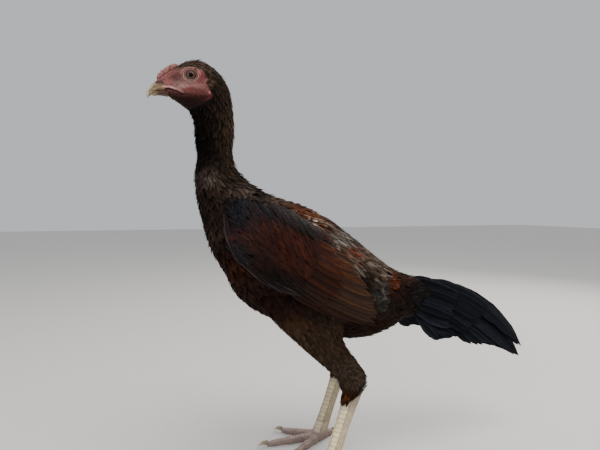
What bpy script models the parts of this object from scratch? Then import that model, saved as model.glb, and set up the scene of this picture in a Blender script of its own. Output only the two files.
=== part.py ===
"""A life-size game chicken that stands alert, with its neck up and its tail low.

Metres. The bird faces -X, its left side is -Y and +Z is up. The origin is on the
floor, under the middle of the whole bird from bill tip to tail tip.
"""

import math

import bmesh
import bpy
import numpy as np
from mathutils import Vector
from mathutils.bvhtree import BVHTree

# Clearance between pieces that touch
GAP = 0.0003

# The body from the base of the bill to the root of the tail, station by station.
# Each row: x and z on the upper outline, x and z on the lower outline, half width,
# and how far the widest place lies above the middle, as a share of the half height.
BODY_STATIONS = {
    "face": (-0.2600, 0.4790, -0.2505, 0.4640, 0.0062, 0.00),
    "lores": (-0.2510, 0.4868, -0.2425, 0.4588, 0.0100, 0.05),
    "brow": (-0.2395, 0.4945, -0.2348, 0.4540, 0.0136, 0.15),
    "eye": (-0.2262, 0.5012, -0.2282, 0.4490, 0.0164, 0.22),
    "crown": (-0.2130, 0.5040, -0.2232, 0.4445, 0.0180, 0.18),
    "ear": (-0.1990, 0.4992, -0.2197, 0.4395, 0.0187, 0.08),
    "nape": (-0.1848, 0.4868, -0.2180, 0.4345, 0.0190, 0.00),
    "neck_top": (-0.1760, 0.4690, -0.2172, 0.4280, 0.0190, 0.00),
    "neck_upper": (-0.1725, 0.4440, -0.2168, 0.4190, 0.0188, 0.00),
    "neck_middle": (-0.1714, 0.4180, -0.2163, 0.4070, 0.0192, 0.00),
    "neck_lower": (-0.1730, 0.3965, -0.2150, 0.3910, 0.0205, 0.00),
    "neck_root": (-0.1668, 0.3770, -0.2178, 0.3705, 0.0240, 0.00),
    "crop": (-0.1510, 0.3615, -0.2168, 0.3480, 0.0320, 0.00),
    "shoulder": (-0.1270, 0.3480, -0.2105, 0.3190, 0.0430, 0.00),
    "breast": (-0.0900, 0.3360, -0.2010, 0.2850, 0.0530, 0.05),
    "chest": (-0.0560, 0.3215, -0.1845, 0.2540, 0.0580, 0.10),
    "keel": (-0.0270, 0.3010, -0.1640, 0.2185, 0.0595, 0.15),
    "belly": (0.0020, 0.2795, -0.1180, 0.1880, 0.0580, 0.15),
    "flank": (0.0290, 0.2590, -0.0560, 0.1640, 0.0520, 0.15),
    "vent": (0.0500, 0.2465, 0.0000, 0.1575, 0.0430, 0.10),
    "rump": (0.0660, 0.2405, 0.0360, 0.1660, 0.0330, 0.05),
    "tail_root": (0.0780, 0.2365, 0.0580, 0.1770, 0.0250, 0.00),
}
BODY_SIDES = 16
RINGS_PER_STATION = 2

# Where thin cuts part the body: a point on the lower outline and one on the upper
NAPE_CUT = ((-0.2174, 0.4300), (-0.1764, 0.4710))
NECK_CUT = ((-0.2190, 0.3640), (-0.1580, 0.3690))

# Eyes: the ball, the ring of its lids and the brow over it, as x and z seen from the side
EYE = (-0.2228, 0.4830)
EYE_RADIUS = 0.0085
EYE_SIDE = 0.0104
LID_LENGTH = 0.0078
LID_HEIGHT = 0.0070
LID_THICKNESS = 0.0013
BROW = ((-0.0120, 0.0030), (-0.0060, 0.0092), (0.0030, 0.0112), (0.0110, 0.0072))
BROW_THICKNESS = 0.0017

# Ears and their lobes
EAR = (-0.2045, 0.4748)
EAR_RADIUS = 0.0036
EAR_RIM = 0.0007
LOBE = (-0.2008, 0.4638)
LOBE_SIZES = (0.0042, 0.0030, 0.0056)

# Fold of bare skin along the jaw
JAW_FOLD = ((-0.2430, 0.4655), (-0.2365, 0.4620), (-0.2295, 0.4585), (-0.2220, 0.4568))
JAW_FOLD_THICKNESS = 0.0014

# Bill: the middle line of each half, the gape behind it and the nostril
BILL_UPPER = ((-0.2500, 0.4738), (-0.2560, 0.4725), (-0.2620, 0.4696),
              (-0.2668, 0.4655), (-0.2694, 0.4613), (-0.2700, 0.4577))
BILL_LOWER = ((-0.2480, 0.4640), (-0.2540, 0.4645), (-0.2600, 0.4636), (-0.2648, 0.4612))
BILL_UPPER_HEIGHT = 0.0070
BILL_UPPER_WIDTH = 0.0076
BILL_LOWER_HEIGHT = 0.0032
BILL_LOWER_WIDTH = 0.0062
GAPE = ((-0.2540, 0.4695), (-0.2465, 0.4698), (-0.2379, 0.4672), (-0.2309, 0.4650))
GAPE_LIP = 0.0010
GAPE_GROOVE = 0.0006
NOSTRIL = ((-0.2612, 0.4708), (-0.2592, 0.4722), (-0.2572, 0.4731))
NOSTRIL_RADIUS = 0.0007

# Pea comb: three low rows of knobs along the forehead
COMB_FRONT = (-0.2600, 0.4805)
COMB_BACK = (-0.2360, 0.4975)
COMB_HEIGHT = 0.0055
COMB_ROW_GAP = 0.0044
COMB_ROW_WIDTH = 0.0028
COMB_KNOBS = 5
COMB_SIDE_ROWS = 0.74

# Wing: u runs along it from the shoulder to the tip, v across it, seen from the side
WING_SHOULDER = (-0.1720, 0.3130)
WING_SLOPE = math.radians(-34.0)
WING_U = (-0.020, 0.038, 0.110, 0.210)
WING_HALF_HEIGHT = 0.040
# Half width of the bird over the wing at each of WING_U: at its lower edge, middle and upper edge
WING_FACE = ((0.030, 0.041, 0.036), (0.050, 0.063, 0.052), (0.055, 0.064, 0.056), (0.044, 0.051, 0.046))
WING_BASE_U = (0.058, 0.078)
WING_BASE_DEPTH = (0.016, 0.006)

# Feathers: how thick a vane is, how far its root sinks, and how much its lower edge rises
VANE_THICKNESS = 0.0009
VANE_CAMBER = 0.0004
ROOT_SINK = 0.0035
VANE_LEAN = 0.17

# Legs: the left one stands a little ahead of the right
LEG_SIDE = 0.0450
STRIDE = 0.0220
# The left thigh: x and z on its front and on its rear outline, distance from the middle, half width
THIGH = (
    (-0.1500, 0.2400, -0.0620, 0.2620, 0.028, 0.0120),
    (-0.1440, 0.2150, -0.0500, 0.2350, 0.034, 0.018),
    (-0.1230, 0.1880, -0.0400, 0.1960, 0.038, 0.0185),
    (-0.0940, 0.1600, -0.0440, 0.1680, 0.042, 0.0185),
    (-0.0690, 0.1370, -0.0270, 0.1420, 0.0445, 0.0175),
    (-0.0535, 0.1220, -0.0150, 0.1235, 0.045, 0.0160),
    (-0.0475, 0.1080, -0.0180, 0.1080, 0.045, 0.0140),
    (-0.0435, 0.0985, -0.0215, 0.0985, 0.045, 0.0112),
)
THIGH_RINGS = 13
HOCK = (-0.0325, 0.0978)
ANKLE = (-0.0640, 0.0110)
SCUTE_LIFT = 0.0007
SHANK_SCUTES = 11
SHANK_DEPTH = 0.0098
SHANK_WIDTH = 0.0080
HOCK_FLARE = 0.0015
FOOT_FLARE = 0.0015
BALL_SIZES = (0.0120, 0.0108, 0.0085)
BALL_HEIGHT = 0.0075

# Toes: (name, turn outwards from straight ahead in degrees, length, scutes)
TOES = (
    ("inner_toe", -34.0, 0.052, 4),
    ("middle_toe", 3.0, 0.076, 7),
    ("outer_toe", 38.0, 0.058, 5),
    ("hind_toe", 158.0, 0.027, 3),
)
TOE_START = 0.0060
TOE_HEIGHT = 0.0120
TOE_HALF_WIDTH = 0.0060
CLAW_LENGTH = 0.0140
CLAW_RADIUS = 0.0030

# Tail: the fleshy root, then main feathers, sickles and two tiers of coverts on each side
TAIL_BASE = (
    (0.0780, 0.2365, 0.0580, 0.1770, 0.0247),
    (0.0960, 0.2290, 0.0800, 0.1790, 0.0185),
    (0.1120, 0.2190, 0.1020, 0.1870, 0.0115),
    (0.1240, 0.2090, 0.1200, 0.1960, 0.0050),
)
TAIL_RIDGE = ((0.0920, 0.2330), (0.2700, 0.1240))
TAIL_RIDGE_BOW = 0.0230
TAIL_RIDGE_HALF_WIDTH = 0.0028
TAIL_ROOF = math.tan(math.radians(22.0))
TAIL_LAYER = 0.0017
MAIN_TAIL_FEATHERS = 7
# The feather flat over the ridge: how far along the ridge it reaches, its half width, and how
# high it lies over the ridge at its tip and under it at its root
RIDGE_FEATHER_REACH = 0.86
RIDGE_FEATHER_HALF_WIDTH = 0.0062
RIDGE_FEATHER_LIFT = 0.0030
RIDGE_FEATHER_SINK = 0.0085

# Small differences from feather to feather
FEATHER_SEED = 11
FEATHER_STRAY = 0.0012

FINISHES = {
    "body_feathers": ((0.045, 0.022, 0.014), 0.65),
    "neck_feathers": ((0.030, 0.018, 0.012), 0.65),
    "wing_feathers": ((0.105, 0.030, 0.014), 0.50),
    "tail_feathers": ((0.010, 0.011, 0.014), 0.35),
    "thigh_feathers": ((0.032, 0.020, 0.014), 0.65),
    "face_skin": ((0.330, 0.090, 0.080), 0.45),
    "comb_skin": ((0.420, 0.080, 0.080), 0.45),
    "bill_horn": ((0.330, 0.270, 0.150), 0.35),
    "eye": ((0.230, 0.140, 0.070), 0.08),
    "leg_scales": ((0.620, 0.520, 0.370), 0.50),
    "claw_horn": ((0.560, 0.480, 0.360), 0.40),
}


def clear_scene():
    for old in list(bpy.data.objects):
        bpy.data.objects.remove(old)


def finish(name):
    """The Principled BSDF material of one finish, made once."""
    found = bpy.data.materials.get(name)
    if found:
        return found
    colour, roughness = FINISHES[name]
    material = bpy.data.materials.new(name)
    material.use_nodes = True
    shader = material.node_tree.nodes["Principled BSDF"]
    shader.inputs["Base Color"].default_value = (*colour, 1.0)
    shader.inputs["Roughness"].default_value = roughness
    shader.inputs["Metallic"].default_value = 0.0
    return material


def object_from(shape, name, finish_name=None):
    """An object in the bird's collection that holds a finished bmesh, smooth."""
    mesh = bpy.data.meshes.new(name)
    shape.to_mesh(mesh)
    shape.free()
    mesh.shade_smooth()
    made = bpy.data.objects.new(name, mesh)
    BIRD.objects.link(made)
    if finish_name:
        mesh.materials.append(finish(finish_name))
    return made


def new_object(name, vertices, faces, finish_name=None):
    """An object from points and faces, with its faces turned out."""
    mesh = bpy.data.meshes.new(name)
    mesh.from_pydata([tuple(v) for v in vertices], [], [tuple(f) for f in faces])
    shape = bmesh.new()
    shape.from_mesh(mesh)
    bpy.data.meshes.remove(mesh)
    bmesh.ops.recalc_face_normals(shape, faces=shape.faces)
    return object_from(shape, name, finish_name)


def along(rows, at):
    """Rows of numbers sampled at places 0, 1, 2... along a smooth curve through them all."""
    rows = np.asarray(rows, float)
    at = np.clip(np.asarray(at, float), 0, len(rows) - 1)
    padded = np.vstack([2 * rows[0] - rows[1], rows, 2 * rows[-1] - rows[-2]])
    first = np.minimum(at.astype(int), len(rows) - 2)
    share = (at - first)[:, None]
    before, start, end, after = (padded[first + k] for k in range(4))
    return 0.5 * (
        2 * start
        + (end - before) * share
        + (2 * before - 5 * start + 4 * end - after) * share**2
        + (3 * start - before - 3 * end + after) * share**3
    )


def eased(rows, count):
    """The same curve, sampled evenly from end to end."""
    return along(rows, np.linspace(0, len(rows) - 1, count))


def full_turn(sides, start=0.0):
    """Angles of the corners of a ring."""
    return np.linspace(0, 2 * math.pi, sides, endpoint=False) + start


def strip_faces(rows, sides, closed_rows=False):
    """Triangles over rows of closed rings; the last row meets the first if asked.

    Every cell is split along the same diagonal, so that a shape and the room cut for it agree.
    """
    faces = []
    for k in range(rows if closed_rows else rows - 1):
        after = (k + 1) % rows
        for j in range(sides):
            beside = (j + 1) % sides
            corner = after * sides + beside
            faces.append((k * sides + j, k * sides + beside, corner))
            faces.append((k * sides + j, corner, after * sides + j))
    return faces


def loft(name, rings, finish_name=None):
    """A closed skin over rings of points, (rings, sides, 3), with a fan on each end."""
    rings = np.asarray(rings, float)
    count, sides = rings.shape[:2]
    vertices = list(rings.reshape(-1, 3))
    faces = strip_faces(count, sides)
    for k in (0, count - 1):
        vertices.append(rings[k].mean(axis=0))
        centre = len(vertices) - 1
        faces += [(k * sides + (j + 1) % sides, k * sides + j, centre) for j in range(sides)]
    return new_object(name, vertices, faces, finish_name)


def side_rings(path, deep, wide, sides, start=0.0):
    """Rings round a path (x, y, z) that bends in a plane seen from the side.

    deep is each ring's half depth in that plane, wide its half width along Y.
    """
    path = np.asarray(path, float)
    ahead = np.gradient(path, axis=0)
    ahead[:, 1] = 0
    ahead /= np.linalg.norm(ahead, axis=1, keepdims=True)
    up = np.stack([-ahead[:, 2], 0 * ahead[:, 0], ahead[:, 0]], axis=1)
    turn = full_turn(sides, start)
    deep = np.asarray(deep)[:, None] * np.cos(turn)[None, :]
    rings = path[:, None, :] + up[:, None, :] * deep[:, :, None]
    rings[:, :, 1] += np.asarray(wide)[:, None] * np.sin(turn)[None, :]
    return rings


def outline_rings(rows, sides, centre_y=0.0):
    """Oval rings between an upper and a lower outline.

    Each row: x and z of one outline, x and z of the other, half width, and the share
    by which the widest place lies towards the first outline.
    """
    turn = full_turn(sides)
    upper = np.stack([rows[:, 0], 0 * rows[:, 0] + centre_y, rows[:, 1]], axis=1)
    lower = np.stack([rows[:, 2], 0 * rows[:, 0] + centre_y, rows[:, 3]], axis=1)
    middle, reach = (upper + lower) / 2, (upper - lower) / 2
    high = np.cos(turn)[None, :] + rows[:, 5][:, None] * np.sin(turn)[None, :] ** 2
    rings = middle[:, None, :] + reach[:, None, :] * high[:, :, None]
    rings[:, :, 1] += rows[:, 4][:, None] * np.sin(turn)[None, :]
    return rings


def body_rings(grow=0.0):
    """Rings of the whole body, moved out by a clearance if asked."""
    stations = list(BODY_STATIONS.values())
    rows = eased(stations, (len(stations) - 1) * RINGS_PER_STATION + 1)
    rings = outline_rings(rows, BODY_SIDES)
    return grown(rings, grow) if grow else rings


def grown(rings, by):
    """The rings moved out by a distance along the skin's normals, and both ends moved on."""
    ahead = np.gradient(rings, axis=0)
    around = np.roll(rings, -1, axis=1) - np.roll(rings, 1, axis=1)
    out = np.cross(around, ahead)
    out /= np.linalg.norm(out, axis=2, keepdims=True) + 1e-12
    centre = rings.mean(axis=1, keepdims=True)
    if ((rings - centre) * out).sum() < 0:
        out = -out
    moved = rings + out * by
    for end, other in ((0, 1), (-1, -2)):
        step = centre[end] - centre[other]
        moved[end] += step / np.linalg.norm(step) * by
    return moved


def body_room(first=0, last=None):
    """The body's shape with the clearance round it, between two rings."""
    return loft("body_room", body_rings(GAP)[first:last])


def body_finder():
    """A search tree of the body's surface."""
    body = loft("body_finder", body_rings())
    shape = bmesh.new()
    shape.from_mesh(body.data)
    tree = BVHTree.FromBMesh(shape)
    shape.free()
    bpy.data.objects.remove(body)
    return tree


def on_body(points, side, lift=0.0):
    """Points (x, z) seen from the side, put on the body's surface on one side of it."""
    found = []
    for x, z in points:
        hit = BODY_SURFACE.ray_cast(Vector((x, side * 0.2, z)), Vector((0, -side, 0)))[0]
        y = abs(hit.y) if hit else 0.0
        found.append((x, side * (y + lift), z))
    return np.array(found)


def surface_tube(name, points, side, radius, sides=5, lift=0.0, steps=6):
    """A round fold that lies on the body's surface along a few points, thin at both ends."""
    path = on_body(eased(points, steps), side, lift)
    share = np.linspace(-1, 1, steps)
    size = radius * np.sqrt(np.clip(1 - share**4, 0.10, 1))
    return loft(name, side_rings(path, size, size * 1.2, sides, math.pi / sides))


def surface_ring(name, centre, length, height, thickness, side, steps=12, sides=5, lift=0.0):
    """A swollen rim on the body's surface round an oval opening."""
    turn = full_turn(steps)
    tube = full_turn(sides)
    vertices = []
    for a in turn:
        outline = (centre[0] + length * math.cos(a), centre[1] + height * math.sin(a))
        at = on_body([outline], side, lift)[0]
        out = np.array([math.cos(a), 0.0, math.sin(a)])
        for b in tube:
            away = out * thickness * math.cos(b)
            vertices.append(at + away + np.array([0, side * thickness * 1.4 * math.sin(b), 0]))
    return new_object(name, vertices, strip_faces(steps, sides, closed_rows=True))


def ellipsoid(name, centre, sizes, segments=12, rings=8, finish_name=None):
    """A ball stretched to three half sizes."""
    shape = bmesh.new()
    bmesh.ops.create_uvsphere(shape, u_segments=segments, v_segments=rings, radius=1.0)
    for v in shape.verts:
        v.co = [v.co[k] * sizes[k] + centre[k] for k in range(3)]
    return object_from(shape, name, finish_name)


def settled(source, name):
    """A new object that holds the source's shape with its modifiers applied. The source goes."""
    bpy.context.view_layer.update()
    graph = bpy.context.evaluated_depsgraph_get()
    mesh = bpy.data.meshes.new_from_object(source.evaluated_get(graph))
    bpy.data.objects.remove(source)
    made = bpy.data.objects.new(name, mesh)
    BIRD.objects.link(made)
    return made


def largest_part(made):
    """Keeps only the closed surface that holds the most volume."""
    shape = bmesh.new()
    shape.from_mesh(made.data)
    bmesh.ops.triangulate(shape, faces=shape.faces)
    left = set(shape.faces)
    islands = []
    while left:
        stack = [left.pop()]
        island = []
        while stack:
            face = stack.pop()
            island.append(face)
            beside = {other for edge in face.edges for other in edge.link_faces} & left
            left -= beside
            stack.extend(beside)
        islands.append(island)

    def volume(island):
        corners = ([v.co for v in face.verts] for face in island)
        return sum(a.cross(b).dot(c) for a, b, c in corners)

    islands.sort(key=volume)
    extra = [face for island in islands[:-1] for face in island]
    if extra:
        bmesh.ops.delete(shape, geom=extra, context="FACES")
    shape.to_mesh(made.data)
    shape.free()
    made.data.shade_smooth()
    return made


def joined(name, pieces, finish_name):
    """One closed body from pieces that overlap, by one Boolean union."""
    first, rest = pieces[0], pieces[1:]
    group = bpy.data.collections.new(name + "_pieces")
    bpy.context.scene.collection.children.link(group)
    for piece in rest:
        BIRD.objects.unlink(piece)
        group.objects.link(piece)
    union = first.modifiers.new("union", "BOOLEAN")
    union.operation = "UNION"
    union.solver = "MANIFOLD"
    union.operand_type = "COLLECTION"
    union.collection = group
    first.name = name + "_pieces"
    first = settled(first, name)
    for piece in rest:
        bpy.data.objects.remove(piece)
    bpy.data.collections.remove(group)
    first.data.name = name
    first.data.materials.clear()
    first.data.materials.append(finish(finish_name))
    return largest_part(first)


def cut(made, cutters):
    """Takes the space of the cutters away from a body. The cutters go."""
    name = made.name
    material = made.data.materials[0]
    for cutter in cutters:
        taken = made.modifiers.new("cut", "BOOLEAN")
        taken.operation = "DIFFERENCE"
        taken.solver = "MANIFOLD"
        taken.object = cutter
    made.name = name + "_uncut"
    made = settled(made, name)
    made.data.name = name
    made.data.materials.clear()
    made.data.materials.append(material)
    for cutter in cutters:
        bpy.data.objects.remove(cutter)
    return largest_part(made)


def sliced(made, name, point, normal, finish_name):
    """The part of a body on the side of a plane that its normal points to, closed by a flat face."""
    shape = bmesh.new()
    shape.from_mesh(made.data)
    bmesh.ops.bisect_plane(
        shape,
        geom=shape.verts[:] + shape.edges[:] + shape.faces[:],
        plane_co=point + normal * GAP / 2,
        plane_no=normal,
        clear_inner=True,
        dist=1e-6,
    )
    rim = [edge for edge in shape.edges if edge.is_boundary]
    bmesh.ops.holes_fill(shape, edges=rim, sides=0)
    bmesh.ops.triangulate(shape, faces=shape.faces)
    return object_from(shape, name, finish_name)


def split_at(made, line, upper_name, lower_name, upper_finish, lower_finish):
    """Parts a body by a thin cut along a line seen from the side, into an upper and a lower part."""
    (x0, z0), (x1, z1) = line
    point = np.array([x0, 0.0, z0])
    normal = np.array([-(z1 - z0), 0.0, x1 - x0])
    normal /= np.linalg.norm(normal)
    upper = sliced(made, upper_name, point, normal, upper_finish)
    lower = sliced(made, lower_name, point, -normal, lower_finish)
    bpy.data.objects.remove(made)
    return upper, lower


def make_eyes():
    for side, name in ((-1, "eye_left"), (1, "eye_right")):
        ellipsoid(name, (EYE[0], side * EYE_SIDE, EYE[1]), [EYE_RADIUS] * 3, 12, 8, "eye")


def make_body():
    """Head, neck and torso from one skin, parted by two thin cuts."""
    body = loft("body", body_rings())
    head, rest = split_at(body, NAPE_CUT, "head", "rest", "face_skin", "neck_feathers")
    split_at(rest, NECK_CUT, "neck", "torso", "neck_feathers", "body_feathers")
    detail_head(head)


def detail_head(head):
    """Lids, brows, the lips of the gape, jaw folds and ear rims; then sockets, ears and mouth line."""
    raised, taken = [head], []
    for side in (-1, 1):
        raised.append(surface_ring("lids", EYE, LID_LENGTH, LID_HEIGHT, LID_THICKNESS, side))
        brow = [(EYE[0] + x, EYE[1] + z) for x, z in BROW]
        raised.append(surface_tube("brow", brow, side, BROW_THICKNESS))
        raised.append(surface_tube("lip", GAPE, side, GAPE_LIP, lift=0.0002))
        raised.append(surface_tube("jaw_fold", JAW_FOLD, side, JAW_FOLD_THICKNESS))
        raised.append(surface_ring("ear_rim", EAR, EAR_RADIUS, EAR_RADIUS * 1.15, EAR_RIM, side, 8, 4))
        socket = [EYE_RADIUS + GAP] * 3
        taken.append(ellipsoid("socket", (EYE[0], side * EYE_SIDE, EYE[1]), socket, 12, 8))
        taken.append(ellipsoid("ear_cup", on_body([EAR], side)[0], (0.0026, 0.0022, 0.0030), 8, 5))
        line = [(x, z - GAPE_LIP) for x, z in GAPE]
        taken.append(surface_tube("mouth_line", line, side, GAPE_GROOVE, 4, 0.0006))
    cut(joined("head", raised, "face_skin"), taken)


def bill_upper_rings():
    grow = np.linspace(0, 1, 10)
    path = eased([(x, 0.0, z) for x, z in BILL_UPPER], 10)
    deep = BILL_UPPER_HEIGHT * (1 - grow**1.25) + 0.0006
    wide = BILL_UPPER_WIDTH * (1 - grow**2.2) + 0.0006
    return side_rings(path, deep, wide, 10)


def bill_lower_rings():
    grow = np.linspace(0, 1, 6)
    path = eased([(x, 0.0, z) for x, z in BILL_LOWER], 6)
    deep = BILL_LOWER_HEIGHT * (1 - 0.55 * grow**2)
    wide = BILL_LOWER_WIDTH * (1 - grow**2.4) + 0.0008
    return side_rings(path, deep, wide, 8)


def make_bill():
    """Two halves of horn over bone, the upper one hooked over the lower, with a nostril on each side."""
    nostrils = []
    for side in (-1, 1):
        path = np.array([(x, side * BILL_UPPER_WIDTH * 0.92, z) for x, z in eased(NOSTRIL, 4)])
        size = NOSTRIL_RADIUS * np.array([0.5, 1.0, 1.0, 0.5])
        nostrils.append(loft("nostril", side_rings(path, size, size * 2.2, 5)))
    cut(loft("bill_upper", bill_upper_rings(), "bill_horn"), [body_room(0, 9), *nostrils])
    upper_room = loft("upper_room", grown(bill_upper_rings(), GAP))
    cut(loft("bill_lower", bill_lower_rings(), "bill_horn"), [body_room(0, 9), upper_room])


def make_ear_lobes():
    for side, name in ((-1, "ear_lobe_left"), (1, "ear_lobe_right")):
        lobe = ellipsoid(name, on_body([LOBE], side)[0], LOBE_SIZES, 9, 6, "comb_skin")
        cut(lobe, [body_room(4, 16)])


def make_comb():
    """A pea comb: a middle row of knobs and a lower row on each side."""
    rows = []
    count = COMB_KNOBS * 2 + 1
    share = np.linspace(0, 1, count)
    front, back = np.array(COMB_FRONT), np.array(COMB_BACK)
    middle = front[None, :] + (back - front)[None, :] * share[:, None]
    bulge = 0.74 + 0.26 * (np.arange(count) % 2)
    ends = np.sqrt(np.clip(1 - (2 * share - 1) ** 4, 0.06, 1))
    for row in (-1, 0, 1):
        high = COMB_HEIGHT * (1.0 if row == 0 else COMB_SIDE_ROWS) * bulge * ends
        path = np.stack([middle[:, 0], 0 * share + row * COMB_ROW_GAP, middle[:, 1]], axis=1)
        rows.append(loft("comb_row", side_rings(path, high, COMB_ROW_WIDTH * bulge * ends, 5)))
    cut(joined("comb", rows, "comb_skin"), [body_room(0, 12)])


def vane_steps(count):
    """Places along a feather: closer together towards its tip."""
    return 1 - np.linspace(1, 0, count) ** 1.35


def vane_outline(steps):
    """A feather's half width along it, as a share: narrow at the root, round at the tip."""
    return np.maximum(np.minimum(1, 0.45 + 1.6 * steps) * np.sqrt(1 - steps**5), 0.16)


def vane(spine, cross, outward, half_width):
    """One feather: a thin plate along a spine, highest along its shaft.

    spine, cross and outward hold a point, the way across and the way out for each
    step. Both faces are split into the same triangles.
    """
    count = len(spine)
    share = vane_outline(vane_steps(count))
    top, bottom = [], []
    for k in range(count):
        for j in (-1, 0, 1):
            at = spine[k] + cross[k] * j * half_width * share[k]
            at = at - outward[k] * VANE_CAMBER * abs(j) * share[k]
            top.append(at + outward[k] * VANE_THICKNESS * (0.25 if j else 0.65))
            bottom.append(at - outward[k] * VANE_THICKNESS * 0.5)
    faces = []
    below = count * 3
    for a in (k * 3 + j for k in range(count - 1) for j in range(2)):
        b, c, d = a + 1, a + 4, a + 3
        faces += [(a, b, c), (a, c, d), (below + a, below + c, below + b), (below + a, below + d, below + c)]
    last = (count - 1) * 3
    rim = [k * 3 for k in range(count)] + [last + 1, last + 2]
    rim += [k * 3 + 2 for k in range(count - 2, -1, -1)] + [1]
    for a, b in zip(rim, rim[1:] + rim[:1]):
        faces += [(a, b, below + b), (a, below + b, below + a)]
    return new_object("vane", top + bottom, faces)


def bent(start, end, bow, steps):
    """Points (x, z) along a line that bows to its left, at the steps of a feather."""
    start, end = np.asarray(start, float), np.asarray(end, float)
    ahead = end - start
    left = np.array([-ahead[1], ahead[0]]) / np.linalg.norm(ahead)
    t = steps[:, None]
    return start + ahead * t + left * bow * 4 * t * (1 - t)


def side_frame(line):
    """The way up across a line (x, z) at each of its points, as (x, y, z)."""
    ahead = np.gradient(line, axis=0)
    ahead /= np.linalg.norm(ahead, axis=1, keepdims=True)
    return np.stack([-ahead[:, 1], 0 * ahead[:, 0], ahead[:, 0]], axis=1)


def wing_uv(x, z):
    """A place seen from the side as a distance along the wing and one across it."""
    dx, dz = x - WING_SHOULDER[0], z - WING_SHOULDER[1]
    c, s = math.cos(WING_SLOPE), math.sin(WING_SLOPE)
    return dx * c + dz * s, dz * c - dx * s


def wing_xz(u, v):
    c, s = math.cos(WING_SLOPE), math.sin(WING_SLOPE)
    return WING_SHOULDER[0] + u * c - v * s, WING_SHOULDER[1] + u * s + v * c


def wing_face(x, z):
    """How far from the middle of the bird the wing's face lies at a place seen from the side."""
    u, v = wing_uv(np.asarray(x, float), np.asarray(z, float))
    edges = along(WING_FACE, np.interp(u, WING_U, range(len(WING_U))))
    low, middle, high = edges[:, 0], edges[:, 1], edges[:, 2]
    w = np.clip(v / WING_HALF_HEIGHT, -1.4, 1.4)
    return middle + (high - low) / 2 * w + ((high + low) / 2 - middle) * w**2


def feather(sheet, side, root, tip, bow, half_width, lift, count, lean=VANE_LEAN):
    """A feather on a sheet, which gives a half width for a place. Its root sinks, its lower edge rises."""
    steps = vane_steps(count)
    line = bent(root, tip, bow, steps)
    up = side_frame(line)
    out = sheet(line[:, 0], line[:, 1]) + lift - (lift + ROOT_SINK) * (1 - steps) ** 4
    reach = up[:, (0, 2)] * half_width
    high, low = line + reach, line - reach
    slope = sheet(high[:, 0], high[:, 1]) - sheet(low[:, 0], low[:, 1])
    spine = np.stack([line[:, 0], side * out, line[:, 1]], axis=1)
    cross = up + np.array([0.0, side, 0.0]) * (slope / (2 * half_width) - lean)[:, None]
    return vane(spine, cross, np.tile([0.0, side, 0.0], (count, 1)), half_width)


def tier(side, roots, tips, count, half_widths, bow, lift, steps, stray):
    """A row of overlapping feathers, from the lower end of a line of roots to its upper end."""
    made = []
    places = np.linspace(0, 1, count)
    root_line = along(roots, places * (len(roots) - 1))
    tip_line = along(tips, places * (len(tips) - 1))
    for k, share in enumerate(places):
        root = wing_xz(*root_line[k])
        tip = wing_xz(*(tip_line[k] + stray.uniform(-1, 1, 2) * FEATHER_STRAY))
        half_width = half_widths[0] + (half_widths[1] - half_widths[0]) * share
        made.append(feather(wing_face, side, root, tip, bow, half_width, lift, steps))
    return made


def wing_base(side):
    """The arm under the feathers: a lens, thick over the shoulder and thin at its rear."""
    turn = full_turn(10)
    rings = []
    for share in np.sin(np.linspace(-1.4, 1.4, 6)):
        u = WING_BASE_U[0] + WING_BASE_U[1] * share
        v = WING_HALF_HEIGHT * math.sqrt(1 - 0.97 * share**2) * np.cos(turn)
        depth = WING_BASE_DEPTH[0] + (WING_BASE_DEPTH[1] - WING_BASE_DEPTH[0]) * (share + 1) / 2
        x, z = wing_xz(u, v)
        inward = np.where(np.sin(turn) < 0, depth, 0.0008) * np.abs(np.sin(turn))
        rings.append(np.stack([x, side * (wing_face(x, z) - 0.0010 - inward), z], axis=1))
    return loft("wing_base", rings)


def make_wing(side, name, thigh_room):
    """A folded wing: the arm, flight feathers, and four tiers of coverts over their roots."""
    stray = np.random.default_rng(FEATHER_SEED)
    pieces = [wing_base(side)]
    # primaries, folded along the lower edge
    pieces += tier(
        side, ((0.082, -0.030), (0.104, -0.020)),
        ((0.172, -0.027), (0.190, -0.021), (0.213, -0.011)),
        3, (0.0070, 0.0070), -0.003, -0.0012, 5, stray,
    )
    # secondaries, their tips along the rear edge
    pieces += tier(
        side, ((0.092, -0.022), (0.098, 0.004), (0.084, 0.028)),
        ((0.208, -0.006), (0.198, 0.007), (0.176, 0.020), (0.140, 0.033)),
        6, (0.0080, 0.0090), -0.002, 0.0000, 5, stray,
    )
    # greater coverts
    pieces += tier(
        side, ((0.052, -0.032), (0.070, 0.000), (0.060, 0.030)),
        ((0.130, -0.031), (0.146, -0.006), (0.138, 0.016), (0.112, 0.037)),
        6, (0.0095, 0.0100), -0.001, 0.0014, 5, stray,
    )
    # median coverts
    pieces += tier(
        side, ((0.022, -0.028), (0.038, 0.000), (0.034, 0.028)),
        ((0.086, -0.038), (0.101, -0.006), (0.097, 0.018), (0.078, 0.040)),
        6, (0.0100, 0.0105), 0.0, 0.0028, 4, stray,
    )
    # lesser coverts
    pieces += tier(
        side, ((0.002, -0.018), (0.010, 0.000), (0.010, 0.024)),
        ((0.044, -0.039), (0.060, -0.008), (0.058, 0.016), (0.044, 0.037)),
        5, (0.0105, 0.0110), 0.0, 0.0042, 4, stray,
    )
    # the shortest ones, over the wrist and the shoulder
    pieces += tier(
        side, ((-0.014, -0.006), (-0.013, 0.006), (-0.010, 0.020)),
        ((0.016, -0.030), (0.027, -0.004), (0.022, 0.029)),
        4, (0.0110, 0.0110), 0.0, 0.0054, 4, stray,
    )
    cut(joined(name, pieces, "wing_feathers"), [body_room(20), thigh_room])


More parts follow.
